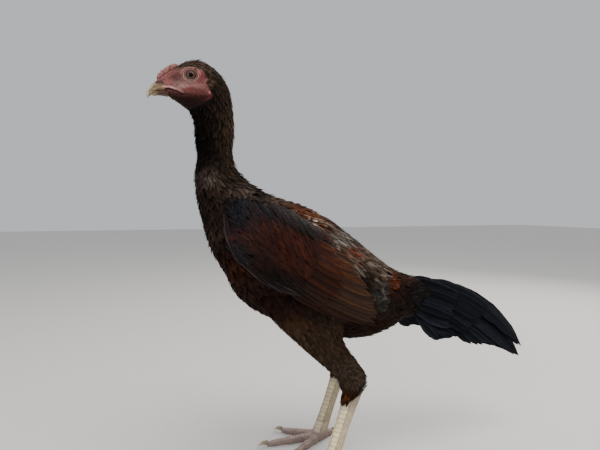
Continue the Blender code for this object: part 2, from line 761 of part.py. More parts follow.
def thigh_rings(side, shift):
    rows = eased([(*row[:4], row[5], 0.0) for row in THIGH], THIGH_RINGS)
    share = np.linspace(0, 1, THIGH_RINGS)
    rows[:, (0, 2)] += shift * (0.25 + 0.75 * share)[:, None]
    centre = eased([(row[4],) for row in THIGH], THIGH_RINGS)
    rings = outline_rings(rows, 12)
    rings[:, :, 1] += side * centre
    return rings


def make_thigh(side, name, shift):
    """The feathered leg from the body down to the hock, which it wraps like a cuff."""
    cut(loft(name, thigh_rings(side, shift), "thigh_feathers"), [body_room(20)])


def scute_places(count):
    """Places along a scaled shaft, two to a scute, and the lift of the skin at each."""
    edge = 0.04
    starts = (np.arange(count) + edge) / count
    ends = (np.arange(count) + 1 - edge) / count
    places = np.stack([starts, ends], axis=1).ravel()
    lifts = np.tile([0.0, 1.0], count)
    return np.array([0.0, *places, 1.0]), np.array([0.0, *lifts, 0.0])


def make_shank(side, name, shift):
    """The bare shank, with broad scutes down its front, and the ball of the foot."""
    at, lift = scute_places(SHANK_SCUTES)
    top = np.array([HOCK[0] + shift, side * LEG_SIDE, HOCK[1]])
    foot = np.array([ANKLE[0] + shift, side * LEG_SIDE, ANKLE[1]])
    path = top[None, :] + (foot - top)[None, :] * at[:, None]
    flare = (1 - at) ** 4
    deep = SHANK_DEPTH + HOCK_FLARE * flare + FOOT_FLARE * at**6
    wide = SHANK_WIDTH + HOCK_FLARE * flare + FOOT_FLARE * at**6
    turn = full_turn(9)
    forward = np.clip(-np.cos(turn), 0, 1)[None, :] ** 0.5 * lift[:, None] * SCUTE_LIFT
    x = (deep[:, None] + forward) * np.cos(turn)
    y = (wide[:, None] + forward) * np.sin(turn)
    rings = path[:, None, :] + np.stack([x, y, 0 * x], axis=2)
    joined(name, [loft(name, rings), ball(side, shift)], "leg_scales")


def ball(side, shift, grow=0.0):
    """The ball of the foot, flat where it meets the floor."""
    centre = (ANKLE[0] + shift - 0.002, side * LEG_SIDE, BALL_HEIGHT)
    made = ellipsoid("ball", centre, [size + grow for size in BALL_SIZES], 12, 7)
    if not grow:
        for v in made.data.vertices:
            v.co.z = max(v.co.z, 0.0)
    return made


def toe_rings(length, scutes):
    """Rings of a toe along +X from its root: scutes on top, pads below, and a flat sole."""
    at, lift = scute_places(scutes)
    turn = full_turn(8, math.pi / 8)
    blunt = 1 - 0.28 * at**12
    high = (TOE_HEIGHT * (1 - 0.42 * at) * blunt)[:, None]
    wide = (TOE_HALF_WIDTH * (1 - 0.36 * at) * (1 - 0.10 * np.cos(at * 6 * math.pi)) * blunt)[:, None]
    z = high / 2 * (0.8 + np.cos(turn)) + lift[:, None] * SCUTE_LIFT * np.clip(np.cos(turn), 0, 1)
    y = wide * np.sin(turn) * (1 + 0.12 * np.cos(turn))
    x = TOE_START + at[:, None] * (length - TOE_START) + 0 * y
    return np.stack([x, y, np.maximum(z, 0.0)], axis=2)


def claw_rings(length):
    """Rings of a claw along +X: a cone that curves down and stays clear of the floor."""
    grow = np.linspace(0, 1, 6)
    radius = CLAW_RADIUS * (1 - grow) ** 0.7 + 0.00035
    x = length + CLAW_LENGTH * np.sin(grow * 1.25) / math.sin(1.25)
    z = 0.0050 + 0.0010 * np.sin(grow * math.pi) - 0.0038 * grow**2
    return side_rings(np.stack([x, 0 * x, z], axis=1), radius, radius * 0.8, 6, math.pi / 6)


def placed(rings, degrees, at):
    """Rings turned about the upright axis and moved to a place on the floor."""
    c, s = math.cos(math.radians(degrees)), math.sin(math.radians(degrees))
    x, y, z = rings[:, :, 0], rings[:, :, 1], rings[:, :, 2]
    return np.stack([x * c - y * s + at[0], x * s + y * c + at[1], z], axis=2)


def make_foot(side, suffix, shift):
    """Three toes ahead and one behind, each with its claw, parted by thin cuts from the ball out."""
    ankle = np.array([ANKLE[0] + shift, side * LEG_SIDE, 0.0])
    turns = [turn for _, turn, _, _ in TOES]
    for k, (toe, turn, length, scutes) in enumerate(TOES):
        degrees = 180.0 - side * turn
        made = loft(toe, placed(toe_rings(length, scutes), degrees, ankle), "leg_scales")
        before = (turns[k - 1] - turn) % 360 - 360
        after = (turns[(k + 1) % len(TOES)] - turn) % 360
        for between, facing in ((before / 2, 1), (after / 2, -1)):
            a = math.radians(degrees - side * between)
            normal = np.array([math.sin(a), -math.cos(a), 0.0]) * facing * side
            part = sliced(made, toe, ankle, normal, "leg_scales")
            bpy.data.objects.remove(made)
            made = part
        made.name = f"{toe}_{suffix}"
        cut(made, [ball(side, shift, GAP)])
        claw = placed(claw_rings(length + GAP), degrees, ankle)
        loft(f"{toe}_claw_{suffix}", claw, "claw_horn")


def make_legs_and_wings():
    for side, suffix, shift in ((-1, "left", 0.0), (1, "right", STRIDE)):
        make_thigh(side, f"thigh_{suffix}", shift)
        make_shank(side, f"shank_{suffix}", shift)
        make_foot(side, suffix, shift)
        thigh_room = loft("thigh_room", grown(thigh_rings(side, shift), GAP))
        make_wing(side, f"wing_{suffix}", thigh_room)


def tail_sheet(x, z):
    """How far from the middle the tail's feathers lie: they hang like a roof from a bowed ridge."""
    start, end = np.array(TAIL_RIDGE)
    length = np.linalg.norm(end - start)
    ahead = (end - start) / length
    along_ridge = (x - start[0]) * ahead[0] + (z - start[1]) * ahead[1]
    above = (z - start[1]) * ahead[0] - (x - start[0]) * ahead[1]
    share = along_ridge / length
    return TAIL_RIDGE_HALF_WIDTH + TAIL_ROOF * (TAIL_RIDGE_BOW * 4 * share * (1 - share) - above)


def ridge_feather():
    """The middle feather of the tail, flat across the ridge where the two sides of the roof meet."""
    steps = vane_steps(6)
    line = bent(*TAIL_RIDGE, TAIL_RIDGE_BOW, steps * RIDGE_FEATHER_REACH)
    up = side_frame(line)
    lift = RIDGE_FEATHER_LIFT - RIDGE_FEATHER_SINK * (1 - steps) ** 4
    spine = np.stack([line[:, 0], 0 * steps, line[:, 1]], axis=1) + up * lift[:, None]
    return vane(spine, np.tile([0.0, 1.0, 0.0], (6, 1)), up, RIDGE_FEATHER_HALF_WIDTH)


def make_tail():
    """The fleshy root of the tail and its fan, nearly shut: main feathers, sickles and coverts."""
    stray = np.random.default_rng(FEATHER_SEED)
    rings = outline_rings(eased([(*row, 0.0) for row in TAIL_BASE], 7), 14)
    rings[:, :, 0] += GAP
    pieces = [loft("tail_base", rings)]

    def add(side, root, tip, bow, half_width, layer, count):
        tip = np.asarray(tip) + stray.uniform(-1, 1, 2) * FEATHER_STRAY
        pieces.append(
            feather(tail_sheet, side, root, tip, bow, half_width, -layer * TAIL_LAYER, count, 0.0)
        )

    for side in (-1, 1):
        for k, share in enumerate(np.linspace(0, 1, MAIN_TAIL_FEATHERS)):
            root = (0.1000 - 0.004 * share, 0.2150 - 0.0220 * share)
            tip = (0.2610 - 0.098 * share, 0.1080 + 0.0300 * share + 0.0060 * math.sin(math.pi * share))
            add(side, root, tip, 0.016 - 0.009 * share, 0.0145 - 0.0015 * share, k + 1, 5)
        # sickles, which close the fan from above
        add(side, (0.0920, 0.2210), (0.2690, 0.1220), 0.021, 0.0105, 0, 6)
        add(side, (0.0920, 0.2180), (0.2340, 0.1500), 0.016, 0.0110, -1, 6)
        # upper coverts
        for k, share in enumerate(np.linspace(0, 1, 4)):
            root = (0.0820, 0.2280 - 0.0330 * share)
            tip = (0.1900 - 0.058 * share, 0.1850 - 0.0200 * share)
            add(side, root, tip, 0.006 - 0.003 * share, 0.0120, k - 5, 4)
        # coverts under the tail
        for k, share in enumerate(np.linspace(0, 1, 3)):
            root = (0.0800, 0.1930 - 0.0060 * share)
            tip = (0.1200 - 0.020 * share, 0.1500 + 0.0070 * share)
            add(side, root, tip, -0.003, 0.0100, 7 + k, 4)
    pieces.append(ridge_feather())
    joined("tail", pieces, "tail_feathers")


clear_scene()
BIRD = bpy.data.collections.new("game_chicken")
bpy.context.scene.collection.children.link(BIRD)
BODY_SURFACE = body_finder()
make_body()
make_eyes()
make_bill()
make_ear_lobes()
make_comb()
make_legs_and_wings()
make_tail()
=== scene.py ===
import math

import bpy
import numpy as np
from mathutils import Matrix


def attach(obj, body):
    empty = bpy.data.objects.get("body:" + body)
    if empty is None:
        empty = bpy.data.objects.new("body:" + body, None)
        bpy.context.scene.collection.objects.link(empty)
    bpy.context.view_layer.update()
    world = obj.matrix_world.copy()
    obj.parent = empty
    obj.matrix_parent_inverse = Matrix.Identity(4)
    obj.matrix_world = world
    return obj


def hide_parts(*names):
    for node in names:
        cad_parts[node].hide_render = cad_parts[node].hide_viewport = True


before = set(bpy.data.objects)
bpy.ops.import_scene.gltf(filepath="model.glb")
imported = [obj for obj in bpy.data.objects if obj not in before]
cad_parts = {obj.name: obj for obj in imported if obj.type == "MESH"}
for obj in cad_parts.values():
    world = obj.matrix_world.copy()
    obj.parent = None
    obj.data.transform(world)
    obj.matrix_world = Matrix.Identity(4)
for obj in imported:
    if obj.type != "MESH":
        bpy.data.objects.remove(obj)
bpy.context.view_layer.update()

# The room: a wide pale floor of painted board that fades into a pale backdrop, lit by soft
# lamps as big as windows. The bird is seen from its left, level with its breast.


def linear(code):
    """An sRGB colour in hex as linear red, green, blue: each channel to the power 2.4, nearly."""
    parts = np.array([int(code[k : k + 2], 16) / 255 for k in (1, 3, 5)])
    return np.where(parts <= 0.04045, parts / 12.92, ((parts + 0.055) / 1.055) ** 2.4)


def rgba(code):
    """An sRGB colour in hex as a socket takes it: linear red, green, blue, and full cover."""
    return (*linear(code), 1.0)


def faded(tone, code, share):
    """Colours moved towards a hex colour by a share: tone + (colour - tone) * share."""
    return tone + (linear(code) - tone) * share


def new_material(name):
    """An empty node material and its shader."""
    material = bpy.data.materials.new(name)
    material.use_nodes = True
    shader = material.node_tree.nodes["Principled BSDF"]
    return material, shader


def node(material, kind, settings=(), links=()):
    """A node with its settings and its links.

    A setting is (property or input, value). A link is (input, output socket) or, with the
    input left open as a socket, (socket, own output's name).
    """
    made = material.node_tree.nodes.new(kind)
    for key, value in settings:
        if isinstance(key, str) and hasattr(made, key):
            setattr(made, key, value)
        else:
            made.inputs[key].default_value = value
    for key, other in links:
        if isinstance(key, bpy.types.NodeSocket):
            material.node_tree.links.new(made.outputs[other], key)
        else:
            material.node_tree.links.new(other, made.inputs[key])
    return made


FLOOR_SIZE = 14.0
floor_mesh = bpy.data.meshes.new("floor")
half = FLOOR_SIZE / 2
floor_mesh.from_pydata(
    [(-half, -half, 0), (half, -half, 0), (half, half, 0), (-half, half, 0)], [], [(0, 1, 2, 3)]
)
floor = bpy.data.objects.new("floor", floor_mesh)
bpy.context.scene.collection.objects.link(floor)

# Matt paint, rolled on: it scatters light evenly, with a faint speckle. The real specks are too
# fine to show, so they are drawn 16 mm wide.
floor_paint, shader = new_material("floor_matt_paint")
place = node(floor_paint, "ShaderNodeTexCoord").outputs["Object"]
SPECKLE_SIZE = 0.016
speckle = node(
    floor_paint, "ShaderNodeTexNoise", (("Scale", 1 / SPECKLE_SIZE), ("Detail", 4.0)), (("Vector", place),)
)
node(
    floor_paint, "ShaderNodeMixRGB",
    (("Color1", rgba("#d9d7d2")), ("Color2", rgba("#dfddd9"))),
    (("Fac", speckle.outputs["Fac"]), (shader.inputs["Base Color"], "Color")),
)
shader.inputs["Roughness"].default_value = 0.85
floor_mesh.materials.append(floor_paint)

world = bpy.data.worlds.new("studio")
bpy.context.scene.world = world
world.use_nodes = True
world.node_tree.nodes["Background"].inputs["Color"].default_value = rgba("#e6e8ec")
world.node_tree.nodes["Background"].inputs["Strength"].default_value = 0.75


def lamp(name, place, target, size, power, colour):
    """A square soft lamp at a place, facing a target."""
    light = bpy.data.lights.new(name, "AREA")
    light.size = size
    light.energy = power
    light.color = linear(colour)
    made = bpy.data.objects.new(name, light)
    made.location = place
    away = np.array(place) - np.array(target)
    flat = math.hypot(away[0], away[1])
    made.rotation_euler = (math.atan2(flat, away[2]), 0.0, math.atan2(away[0], -away[1]))
    bpy.context.scene.collection.objects.link(made)


BREAST = (-0.08, 0.0, 0.28)
lamp("sky_lamp", (0.25, -0.55, 1.75), BREAST, 1.3, 26.0, "#fffdf8")
lamp("front_lamp", (-1.30, -1.30, 0.85), BREAST, 1.1, 14.0, "#f6f8ff")
lamp("rear_lamp", (1.25, 0.75, 1.05), BREAST, 0.9, 12.0, "#fff6ea")

# The photograph's camera, a phone's: its place, its turn from straight across the bird, its
# focal length in pixels of a picture 600 wide, and how many pixels the horizon lies over the
# picture's middle, which gives the tilt
CAMERA_PLACE = (-0.2652, -0.5516, 0.330)
CAMERA_TURN = math.radians(-18.0)
FOCAL_PIXELS = 451.0
HORIZON_PIXELS = 16
CAMERA_TILT = math.atan(HORIZON_PIXELS / FOCAL_PIXELS)
PICTURE_WIDTH = 600.0
FILM_WIDTH = 36.0
NEAREST_SEEN = 0.02
camera_data = bpy.data.cameras.new("camera")
camera_data.sensor_width = FILM_WIDTH
camera_data.sensor_fit = "HORIZONTAL"
camera_data.lens = FOCAL_PIXELS / PICTURE_WIDTH * FILM_WIDTH
camera_data.clip_start = NEAREST_SEEN
camera = bpy.data.objects.new("camera", camera_data)
camera.location = CAMERA_PLACE
camera.rotation_euler = (math.pi / 2 - CAMERA_TILT, 0.0, CAMERA_TURN)
bpy.context.scene.collection.objects.link(camera)
bpy.context.scene.camera = camera

# The skin: one thin living hide from the bill to the root of the tail and down both thighs. It
# is bare, red and wrinkled on the face, and under the coat it carries the coat's own colours,
# darkened as painted shade from the feathers over it.

# Stations along the body. Each: x and z on the upper outline, x and z on the lower outline,
# half width, and how far the widest place lies above the middle, as a share
BODY_STATIONS = (
    (-0.2600, 0.4790, -0.2505, 0.4640, 0.0062, 0.00),  # face
    (-0.2510, 0.4868, -0.2425, 0.4588, 0.0100, 0.05),
    (-0.2395, 0.4945, -0.2348, 0.4540, 0.0136, 0.15),  # brow
    (-0.2262, 0.5012, -0.2282, 0.4490, 0.0164, 0.22),
    (-0.2130, 0.5040, -0.2232, 0.4445, 0.0180, 0.18),  # crown
    (-0.1990, 0.4992, -0.2197, 0.4395, 0.0187, 0.08),
    (-0.1848, 0.4868, -0.2180, 0.4345, 0.0190, 0.00),  # nape
    (-0.1760, 0.4690, -0.2172, 0.4280, 0.0190, 0.00),
    (-0.1725, 0.4440, -0.2168, 0.4190, 0.0188, 0.00),
    (-0.1714, 0.4180, -0.2163, 0.4070, 0.0192, 0.00),  # middle of the neck
    (-0.1730, 0.3965, -0.2150, 0.3910, 0.0205, 0.00),
    (-0.1668, 0.3770, -0.2178, 0.3705, 0.0240, 0.00),
    (-0.1510, 0.3615, -0.2168, 0.3480, 0.0320, 0.00),  # crop
    (-0.1270, 0.3480, -0.2105, 0.3190, 0.0430, 0.00),
    (-0.0900, 0.3360, -0.2010, 0.2850, 0.0530, 0.05),  # breast
    (-0.0560, 0.3215, -0.1845, 0.2540, 0.0580, 0.10),
    (-0.0270, 0.3010, -0.1640, 0.2185, 0.0595, 0.15),  # keel
    (0.0020, 0.2795, -0.1180, 0.1880, 0.0580, 0.15),
    (0.0290, 0.2590, -0.0560, 0.1640, 0.0520, 0.15),  # flank
    (0.0500, 0.2465, 0.0000, 0.1575, 0.0430, 0.10),
    (0.0660, 0.2405, 0.0360, 0.1660, 0.0330, 0.05),  # rump
    (0.0780, 0.2365, 0.0580, 0.1770, 0.0250, 0.00),
    (0.0960, 0.2290, 0.0800, 0.1790, 0.0185, 0.00),  # root of the tail
    (0.1120, 0.2190, 0.1020, 0.1870, 0.0115, 0.00),
    (0.1240, 0.2090, 0.1200, 0.1960, 0.0050, 0.00),
)
TAIL_END = len(BODY_STATIONS) - 1
NAPE = 6.0
# The thighs. Each: x and z on the front and on the rear outline, place out from the middle,
# half width. The right leg stands further back by the stride.
THIGH_STATIONS = (
    (-0.1500, 0.2400, -0.0620, 0.2620, 0.0280, 0.0120),
    (-0.1440, 0.2150, -0.0500, 0.2350, 0.0340, 0.0180),
    (-0.1230, 0.1880, -0.0400, 0.1960, 0.0380, 0.0185),
    (-0.0940, 0.1600, -0.0440, 0.1680, 0.0420, 0.0185),
    (-0.0690, 0.1370, -0.0270, 0.1420, 0.0445, 0.0175),
    (-0.0535, 0.1220, -0.0150, 0.1235, 0.0450, 0.0160),
    (-0.0475, 0.1080, -0.0180, 0.1080, 0.0450, 0.0140),
    (-0.0435, 0.0985, -0.0215, 0.0985, 0.0450, 0.0112),
)
THIGH_END = len(THIGH_STATIONS) - 1
STRIDE = 0.0220
# How deep the coat is over the skin, at stations of the body
COAT_DEPTH = ((0, 3, 6, 8, 11, 14, 20, 24), (0.0, 0.0, 0.0014, 0.0024, 0.0030, 0.0042, 0.0040, 0.0015))
THIGH_COAT_DEPTH = 0.0032


def along(rows, at):
    """Rows of numbers at places 0, 1, 2... on a smooth (Catmull-Rom) curve through them all."""
    rows = np.asarray(rows, float)
    at = np.clip(np.asarray(at, float), 0, len(rows) - 1)
    padded = np.vstack([2 * rows[0] - rows[1], rows, 2 * rows[-1] - rows[-2]])
    first = np.minimum(at.astype(int), len(rows) - 2)
    share = (at - first)[..., None]
    before, start, end, after = (padded[first + k] for k in range(4))
    return 0.5 * (
        2 * start
        + (end - before) * share
        + (2 * before - 5 * start + 4 * end - after) * share**2
        + (3 * start - before - 3 * end + after) * share**3
    )


def oval(rows, t, centre_y):
    """The point at angle t on an oval ring between two outlines.

    It is the rings' middle plus the half span times (cos t + skew sin^2 t), and out to the
    side by the half width times sin t.
    """
    middle = (rows[..., (0, 1)] + rows[..., (2, 3)]) / 2
    reach = (rows[..., (0, 1)] - rows[..., (2, 3)]) / 2
    flat = middle + reach * (np.cos(t) + rows[..., 5] * np.sin(t) ** 2)[..., None]
    return np.stack([flat[..., 0], centre_y + rows[..., 4] * np.sin(t), flat[..., 1]], axis=-1)


def body(s, t):
    """The outside of the plumage at station s and angle t: 0 is the back, pi the belly, 3/2 pi the left."""
    s, t = np.broadcast_arrays(s, t)
    return oval(along(BODY_STATIONS, s), t, 0.0)


def thigh(side):
    """The outside of one thigh as a function of station and angle: 0 is its front, pi its rear."""
    shift = STRIDE if side > 0 else 0.0

    def surface(s, t):
        """The point at station s and angle t."""
        s, t = np.broadcast_arrays(s, t)
        rows = along(THIGH_STATIONS, s)
        centre = side * rows[..., 4]
        share = s / THIGH_END
        shape = np.concatenate([rows[..., :4], rows[..., 5:6], 0 * rows[..., 5:6]], axis=-1)
        points = oval(shape, t, centre)
        points[..., 0] += shift * (0.25 + 0.75 * share)
        return points

    return surface


SLOPE_STEP = 0.02


def facing(surface, s, t):
    """The way out of a surface: the cross product of its two slopes, found by small steps."""
    ahead = surface(s + SLOPE_STEP, t) - surface(s - SLOPE_STEP, t)
    beside = surface(s, t + SLOPE_STEP) - surface(s, t - SLOPE_STEP)
    out = np.cross(beside, ahead)
    out /= np.linalg.norm(out, axis=-1, keepdims=True) + 1e-12
    flip = np.sign(np.sum(out * (surface(s, t) - surface(s, t + math.pi)), axis=-1, keepdims=True))
    return out * np.where(flip == 0, 1, flip)


def grid_faces(rows, columns):
    """Quads over a grid whose columns close on themselves."""
    k = np.arange(rows - 1)[:, None]
    j = np.arange(columns)[None, :]
    beside = (j + 1) % columns
    here, below = k * columns, (k + 1) * columns
    return np.stack([here + j, here + beside, below + beside, below + j], axis=-1).reshape(-1, 4)


def outward(points, quads, triangles):
    """The faces, all turned over if they would enclose a negative volume."""
    a, b, c, d = (points[quads[:, k]] for k in range(4))
    volume = np.sum(np.cross(a, b) * c) + np.sum(np.cross(a, c) * d)
    if volume < 0:
        return quads[:, ::-1], triangles[:, ::-1]
    return quads, triangles


NO_TRIANGLES = np.zeros((0, 3), int)


def closed_loft(rings):
    """Points and faces of rings closed at both ends by a fan to the middle of the end ring."""
    rows, sides = rings.shape[:2]
    ring = np.arange(sides)
    ends = np.stack([rings[0].mean(axis=0), rings[-1].mean(axis=0)])
    points = np.concatenate([rings.reshape(-1, 3), ends])
    first, last = rows * sides, rows * sides + 1
    back = (rows - 1) * sides
    fans = np.concatenate([
        np.stack([np.roll(ring, -1), ring, np.full(sides, first)], axis=-1),
        np.stack([ring + back, np.roll(ring, -1) + back, np.full(sides, last)], axis=-1),
    ])
    quads, fans = outward(points, grid_faces(rows, sides), fans)
    return points, quads, fans


def merged(shapes):
    """Several closed lofts as one array of points, quads and triangles."""
    points, quads, fans, count = [], [], [], 0
    for rings in shapes:
        part = closed_loft(rings)
        points.append(part[0])
        quads.append(part[1] + count)
        fans.append(part[2] + count)
        count += len(part[0])
    return np.concatenate(points), np.concatenate(quads), np.concatenate(fans)


def put_mesh(name, points, quads, triangles, material, smooth_angle=180.0):
    """A mesh object from arrays of points, quads and triangles, with edges sharp past an angle."""
    mesh = bpy.data.meshes.new(name)
    mesh.vertices.add(len(points))
    mesh.vertices.foreach_set("co", points.ravel())
    corners = np.concatenate([quads.ravel(), triangles.ravel()]).astype(np.int32)
    sizes = np.concatenate([np.full(len(quads), 4), np.full(len(triangles), 3)])
    mesh.loops.add(len(corners))
    mesh.loops.foreach_set("vertex_index", corners)
    mesh.polygons.add(len(sizes))
    mesh.polygons.foreach_set("loop_start", np.concatenate([[0], np.cumsum(sizes)[:-1]]).astype(np.int32))
    mesh.update(calc_edges=True)
    mesh.shade_smooth()
    if smooth_angle < 180:
        mesh.set_sharp_from_angle(angle=math.radians(smooth_angle))
    mesh.materials.append(material)
    made = bpy.data.objects.new(name, mesh)
    bpy.context.scene.collection.objects.link(made)
    return made


# Flat unwraps have so many lengths of the map to a metre; each piece lies at a corner of its own
MAP_SCALE = 8.0
LEG_MAP_SCALE = 4.0


def add_map(made, uv):
    """The map OFBake, from one pair of numbers for each point."""
    corners = np.zeros(len(made.data.loops), np.int32)
    made.data.loops.foreach_get("vertex_index", corners)
    layer = made.data.uv_layers.new(name="OFBake")
    layer.data.foreach_set("uv", np.asarray(uv, np.float32)[corners].ravel())


def add_colours(made, name, colours):
    """A colour for each point, linear, as an attribute."""
    layer = made.data.attributes.new(name, "FLOAT_COLOR", "POINT")
    full = np.concatenate([colours, np.ones((len(colours), 1))], axis=1)
    layer.data.foreach_set("color", full.astype(np.float32).ravel())


def lumps(points, size, seed):
    """A smooth wandering value from -1 to 1: a sum of sine waves in three odd directions."""
    rng = np.random.default_rng(seed)
    total = 0
    for k in range(5):
        ways = rng.normal(size=3)
        ways *= 2 * math.pi / size / np.linalg.norm(ways) * (0.7 + 0.35 * k)
        total = total + np.sin(points @ ways + rng.uniform(0, 6.28)) / (1 + 0.5 * k)
    return total / 2.2


# The coat's markings, seen from the side: x, z, reach along x, reach along z, colour, strength
MARKINGS = (
    (-0.198, 0.400, 0.030, 0.060, "#080504", 0.95),  # neck
    (-0.176, 0.425, 0.012, 0.050, "#35281d", 0.8),  # its nape, browner
    (-0.213, 0.425, 0.013, 0.030, "#030201", 0.97),  # throat
    (-0.220, 0.499, 0.026, 0.009, "#46382f", 0.92),  # crown, grey-brown
    (-0.183, 0.478, 0.010, 0.016, "#35291f", 0.7),  # back of the head
    (-0.200, 0.340, 0.025, 0.030, "#1d1512", 0.8),  # crop
    (-0.192, 0.285, 0.030, 0.035, "#120705", 0.95),  # breast
    (-0.196, 0.366, 0.018, 0.022, "#30251d", 0.8),  # root of the neck, browner
    (-0.206, 0.374, 0.009, 0.010, "#4c403a", 0.8),  # its front, paler
    (-0.138, 0.343, 0.016, 0.010, "#493f36", 0.8),  # between the shoulders
    (-0.170, 0.357, 0.012, 0.010, "#463c35", 0.8),  # over the shoulder
    (-0.118, 0.200, 0.018, 0.014, "#3a2414", 0.8),  # side, before the thigh
    (-0.206, 0.306, 0.009, 0.016, "#33261f", 0.75),  # front edge of the breast
    (-0.184, 0.264, 0.022, 0.020, "#2b130b", 0.8),  # lower breast, red-brown
    (-0.150, 0.225, 0.040, 0.030, "#180a06", 0.85),  # keel
    (-0.100, 0.328, 0.035, 0.016, "#4e2c1b", 0.95),  # saddle, rust
    (-0.028, 0.284, 0.038, 0.018, "#564a40", 0.95),  # middle of the back, grey-brown
    (-0.062, 0.307, 0.016, 0.008, "#80756d", 0.85),  # pale streak on it
    (-0.047, 0.285, 0.022, 0.009, "#5c2d1a", 0.9),  # rust streak under that
    (-0.004, 0.262, 0.020, 0.014, "#4c3e32", 0.9),  # lower back
    (0.021, 0.245, 0.010, 0.011, "#602a12", 0.9),  # orange-rust spot by the rump
    (0.034, 0.232, 0.018, 0.012, "#160b08", 0.85),  # dark edge behind it
    (0.050, 0.226, 0.022, 0.016, "#120906", 0.95),  # rump, black-brown
    (0.048, 0.240, 0.014, 0.008, "#35180d", 0.85),  # its ridge, redder
    (0.068, 0.203, 0.019, 0.024, "#0f1114", 0.9),  # root of the tail, blue-black
    (-0.010, 0.180, 0.040, 0.016, "#1c0904", 0.95),  # belly
    (-0.006, 0.224, 0.011, 0.018, "#3b3937", 0.85),  # behind the wing
)
COAT_GROUND = "#170f0b"


def plumage(points):
    """The coat's colour at each point, linear: the ground, with each marking faded over it.

    A marking's share is its strength times exp(-(distance / reach)^2).
    """
    x, z = points[..., 0], points[..., 2]
    wander = lumps(points, 0.035, 5) * 0.006
    colours = np.broadcast_to(linear(COAT_GROUND), (*x.shape, 3))
    for mark_x, mark_z, reach_x, reach_z, code, strength in MARKINGS:
        away = ((x + wander - mark_x) / reach_x) ** 2 + ((z + wander - mark_z) / reach_z) ** 2
        colours = faded(colours, code, (strength * np.exp(-away))[..., None])
    return colours


# Where the face is bare, seen from the side: the line that the feathers stop at
FACE_LINE = (
    (-0.300, 0.540), (-0.2400, 0.4985), (-0.2388, 0.4955), (-0.2370, 0.4930), (-0.2330, 0.4918),
    (-0.2295, 0.4924), (-0.2225, 0.4932), (-0.2140, 0.4924), (-0.2070, 0.4880), (-0.2040, 0.4800),
    (-0.2035, 0.4720), (-0.1995, 0.4690), (-0.1968, 0.4610), (-0.2030, 0.4560), (-0.2110, 0.4520),
    (-0.2200, 0.4480), (-0.2310, 0.4440), (-0.300, 0.420),
)
# Eyes and the parts round them, seen from the side
EYE = (-0.2228, 0.4830)
EYE_RADIUS = 0.0085
EYE_SIDE = 0.0104
LID_OPENING = (0.0063, 0.0052)
EAR = (-0.2012, 0.4765)
LOBE = (-0.2008, 0.4638)
GAPE = ((-0.2545, 0.4697), (-0.2465, 0.4698), (-0.2379, 0.4672), (-0.2309, 0.4640))
# The slit of the mouth lies this far below the ridge over it
SLIT = [(x, z - 0.0019) for x, z in GAPE]
BROW = ((-0.2350, 0.4868), (-0.2290, 0.4925), (-0.2210, 0.4948), (-0.2120, 0.4910), (-0.2078, 0.4850))
CHEEKBONE = ((-0.2320, 0.4690), (-0.2230, 0.4702), (-0.2120, 0.4690), (-0.2045, 0.4675))
FOLD_BEHIND_EYE = ((-0.2065, 0.4880), (-0.2098, 0.4830), (-0.2120, 0.4760))
FOLD_BEFORE_EAR = ((-0.2032, 0.4850), (-0.2042, 0.4790))
RED_STREAK = ((-0.2072, 0.4880), (-0.2100, 0.4830), (-0.2118, 0.4770))
# The folds of the jaw: how far each lies below the first, and how high it stands
JAW = ((-0.2440, 0.4625), (-0.2350, 0.4597), (-0.2240, 0.4590), (-0.2130, 0.4610))
JAW_FOLDS = ((0.0, 0.0006), (0.0034, 0.0004), (0.0066, 0.0003))


def line_distance(x, z, line):
    """How far each place is from a chain of straight pieces, and the share along it of the nearest point."""
    line = np.asarray(line, float)
    places = np.stack([x, z], axis=-1)[..., None, :]
    start, step = line[:-1], np.diff(line, axis=0)
    share = np.clip(np.sum((places - start) * step, -1) / np.sum(step**2, -1), 0, 1)
    away = np.linalg.norm(places - start - step * share[..., None], axis=-1)
    nearest = np.argmin(away, axis=-1)[..., None]
    whole = np.take_along_axis(share, nearest, -1)[..., 0] + nearest[..., 0]
    return np.take_along_axis(away, nearest, -1)[..., 0], whole / len(step)


def inside(x, z, outline):
    """Whether each place lies inside a closed outline: a ray from it crosses the outline an odd number of times."""
    odd = np.zeros(np.shape(x), bool)
    for (x0, z0), (x1, z1) in zip(outline, outline[1:] + outline[:1]):
        spans = (z0 > z) != (z1 > z)
        odd ^= spans & (x < (x1 - x0) * (z - z0) / (z1 - z0 + 1e-12) + x0)
    return odd


def bareness(points):
    """1 on the bare face, 0 under the coat, with a soft step about 1 mm wide between them."""
    x, z = points[..., 0], points[..., 2]
    away = line_distance(x, z, FACE_LINE)[0]
    away = np.where(inside(x, z, FACE_LINE), away, -away)
    return np.clip(0.5 + away / 0.0012, 0, 1)


def bump(value, width):
    """A bell, 1 in the middle: exp(-(value / width)^2)."""
    return np.exp(-((value / width) ** 2))


def smooth_step(value, low, high):
    """0 below low, 1 above high, and a smooth step between: 3w^2 - 2w^3."""
    w = np.clip((value - low) / (high - low), 0, 1)
    return w * w * (3 - 2 * w)


def ridge_along(points, line, width):
    """A ridge seen from the side, 1 high: a bell across the distance from a line."""
    return bump(line_distance(points[..., 0], points[..., 2], line)[0], width)


def mound_at(points, middle, width, height):
    """A mound seen from the side, 1 high: a bell along x times a bell along z."""
    return bump(points[..., 0] - middle[0], width) * bump(points[..., 2] - middle[1], height)


def dot_at(points, middle, radius):
    """A round mound seen from the side, 1 high: a bell across the distance from its middle."""
    return bump(np.hypot(points[..., 0] - middle[0], points[..., 2] - middle[1]), radius)


def rings_of_eye(points):
    """How far from the eye's middle each place lies, seen from the side, where the lids' opening is 1."""
    return np.hypot((points[..., 0] - EYE[0]) / LID_OPENING[0], (points[..., 2] - EYE[1]) / LID_OPENING[1])


def brow_relief(points):
    """The bony brow over each eye, which lifts skin and feathers alike: a ridge along a line."""
    return 0.0006 * ridge_along(points, BROW, 0.0020)


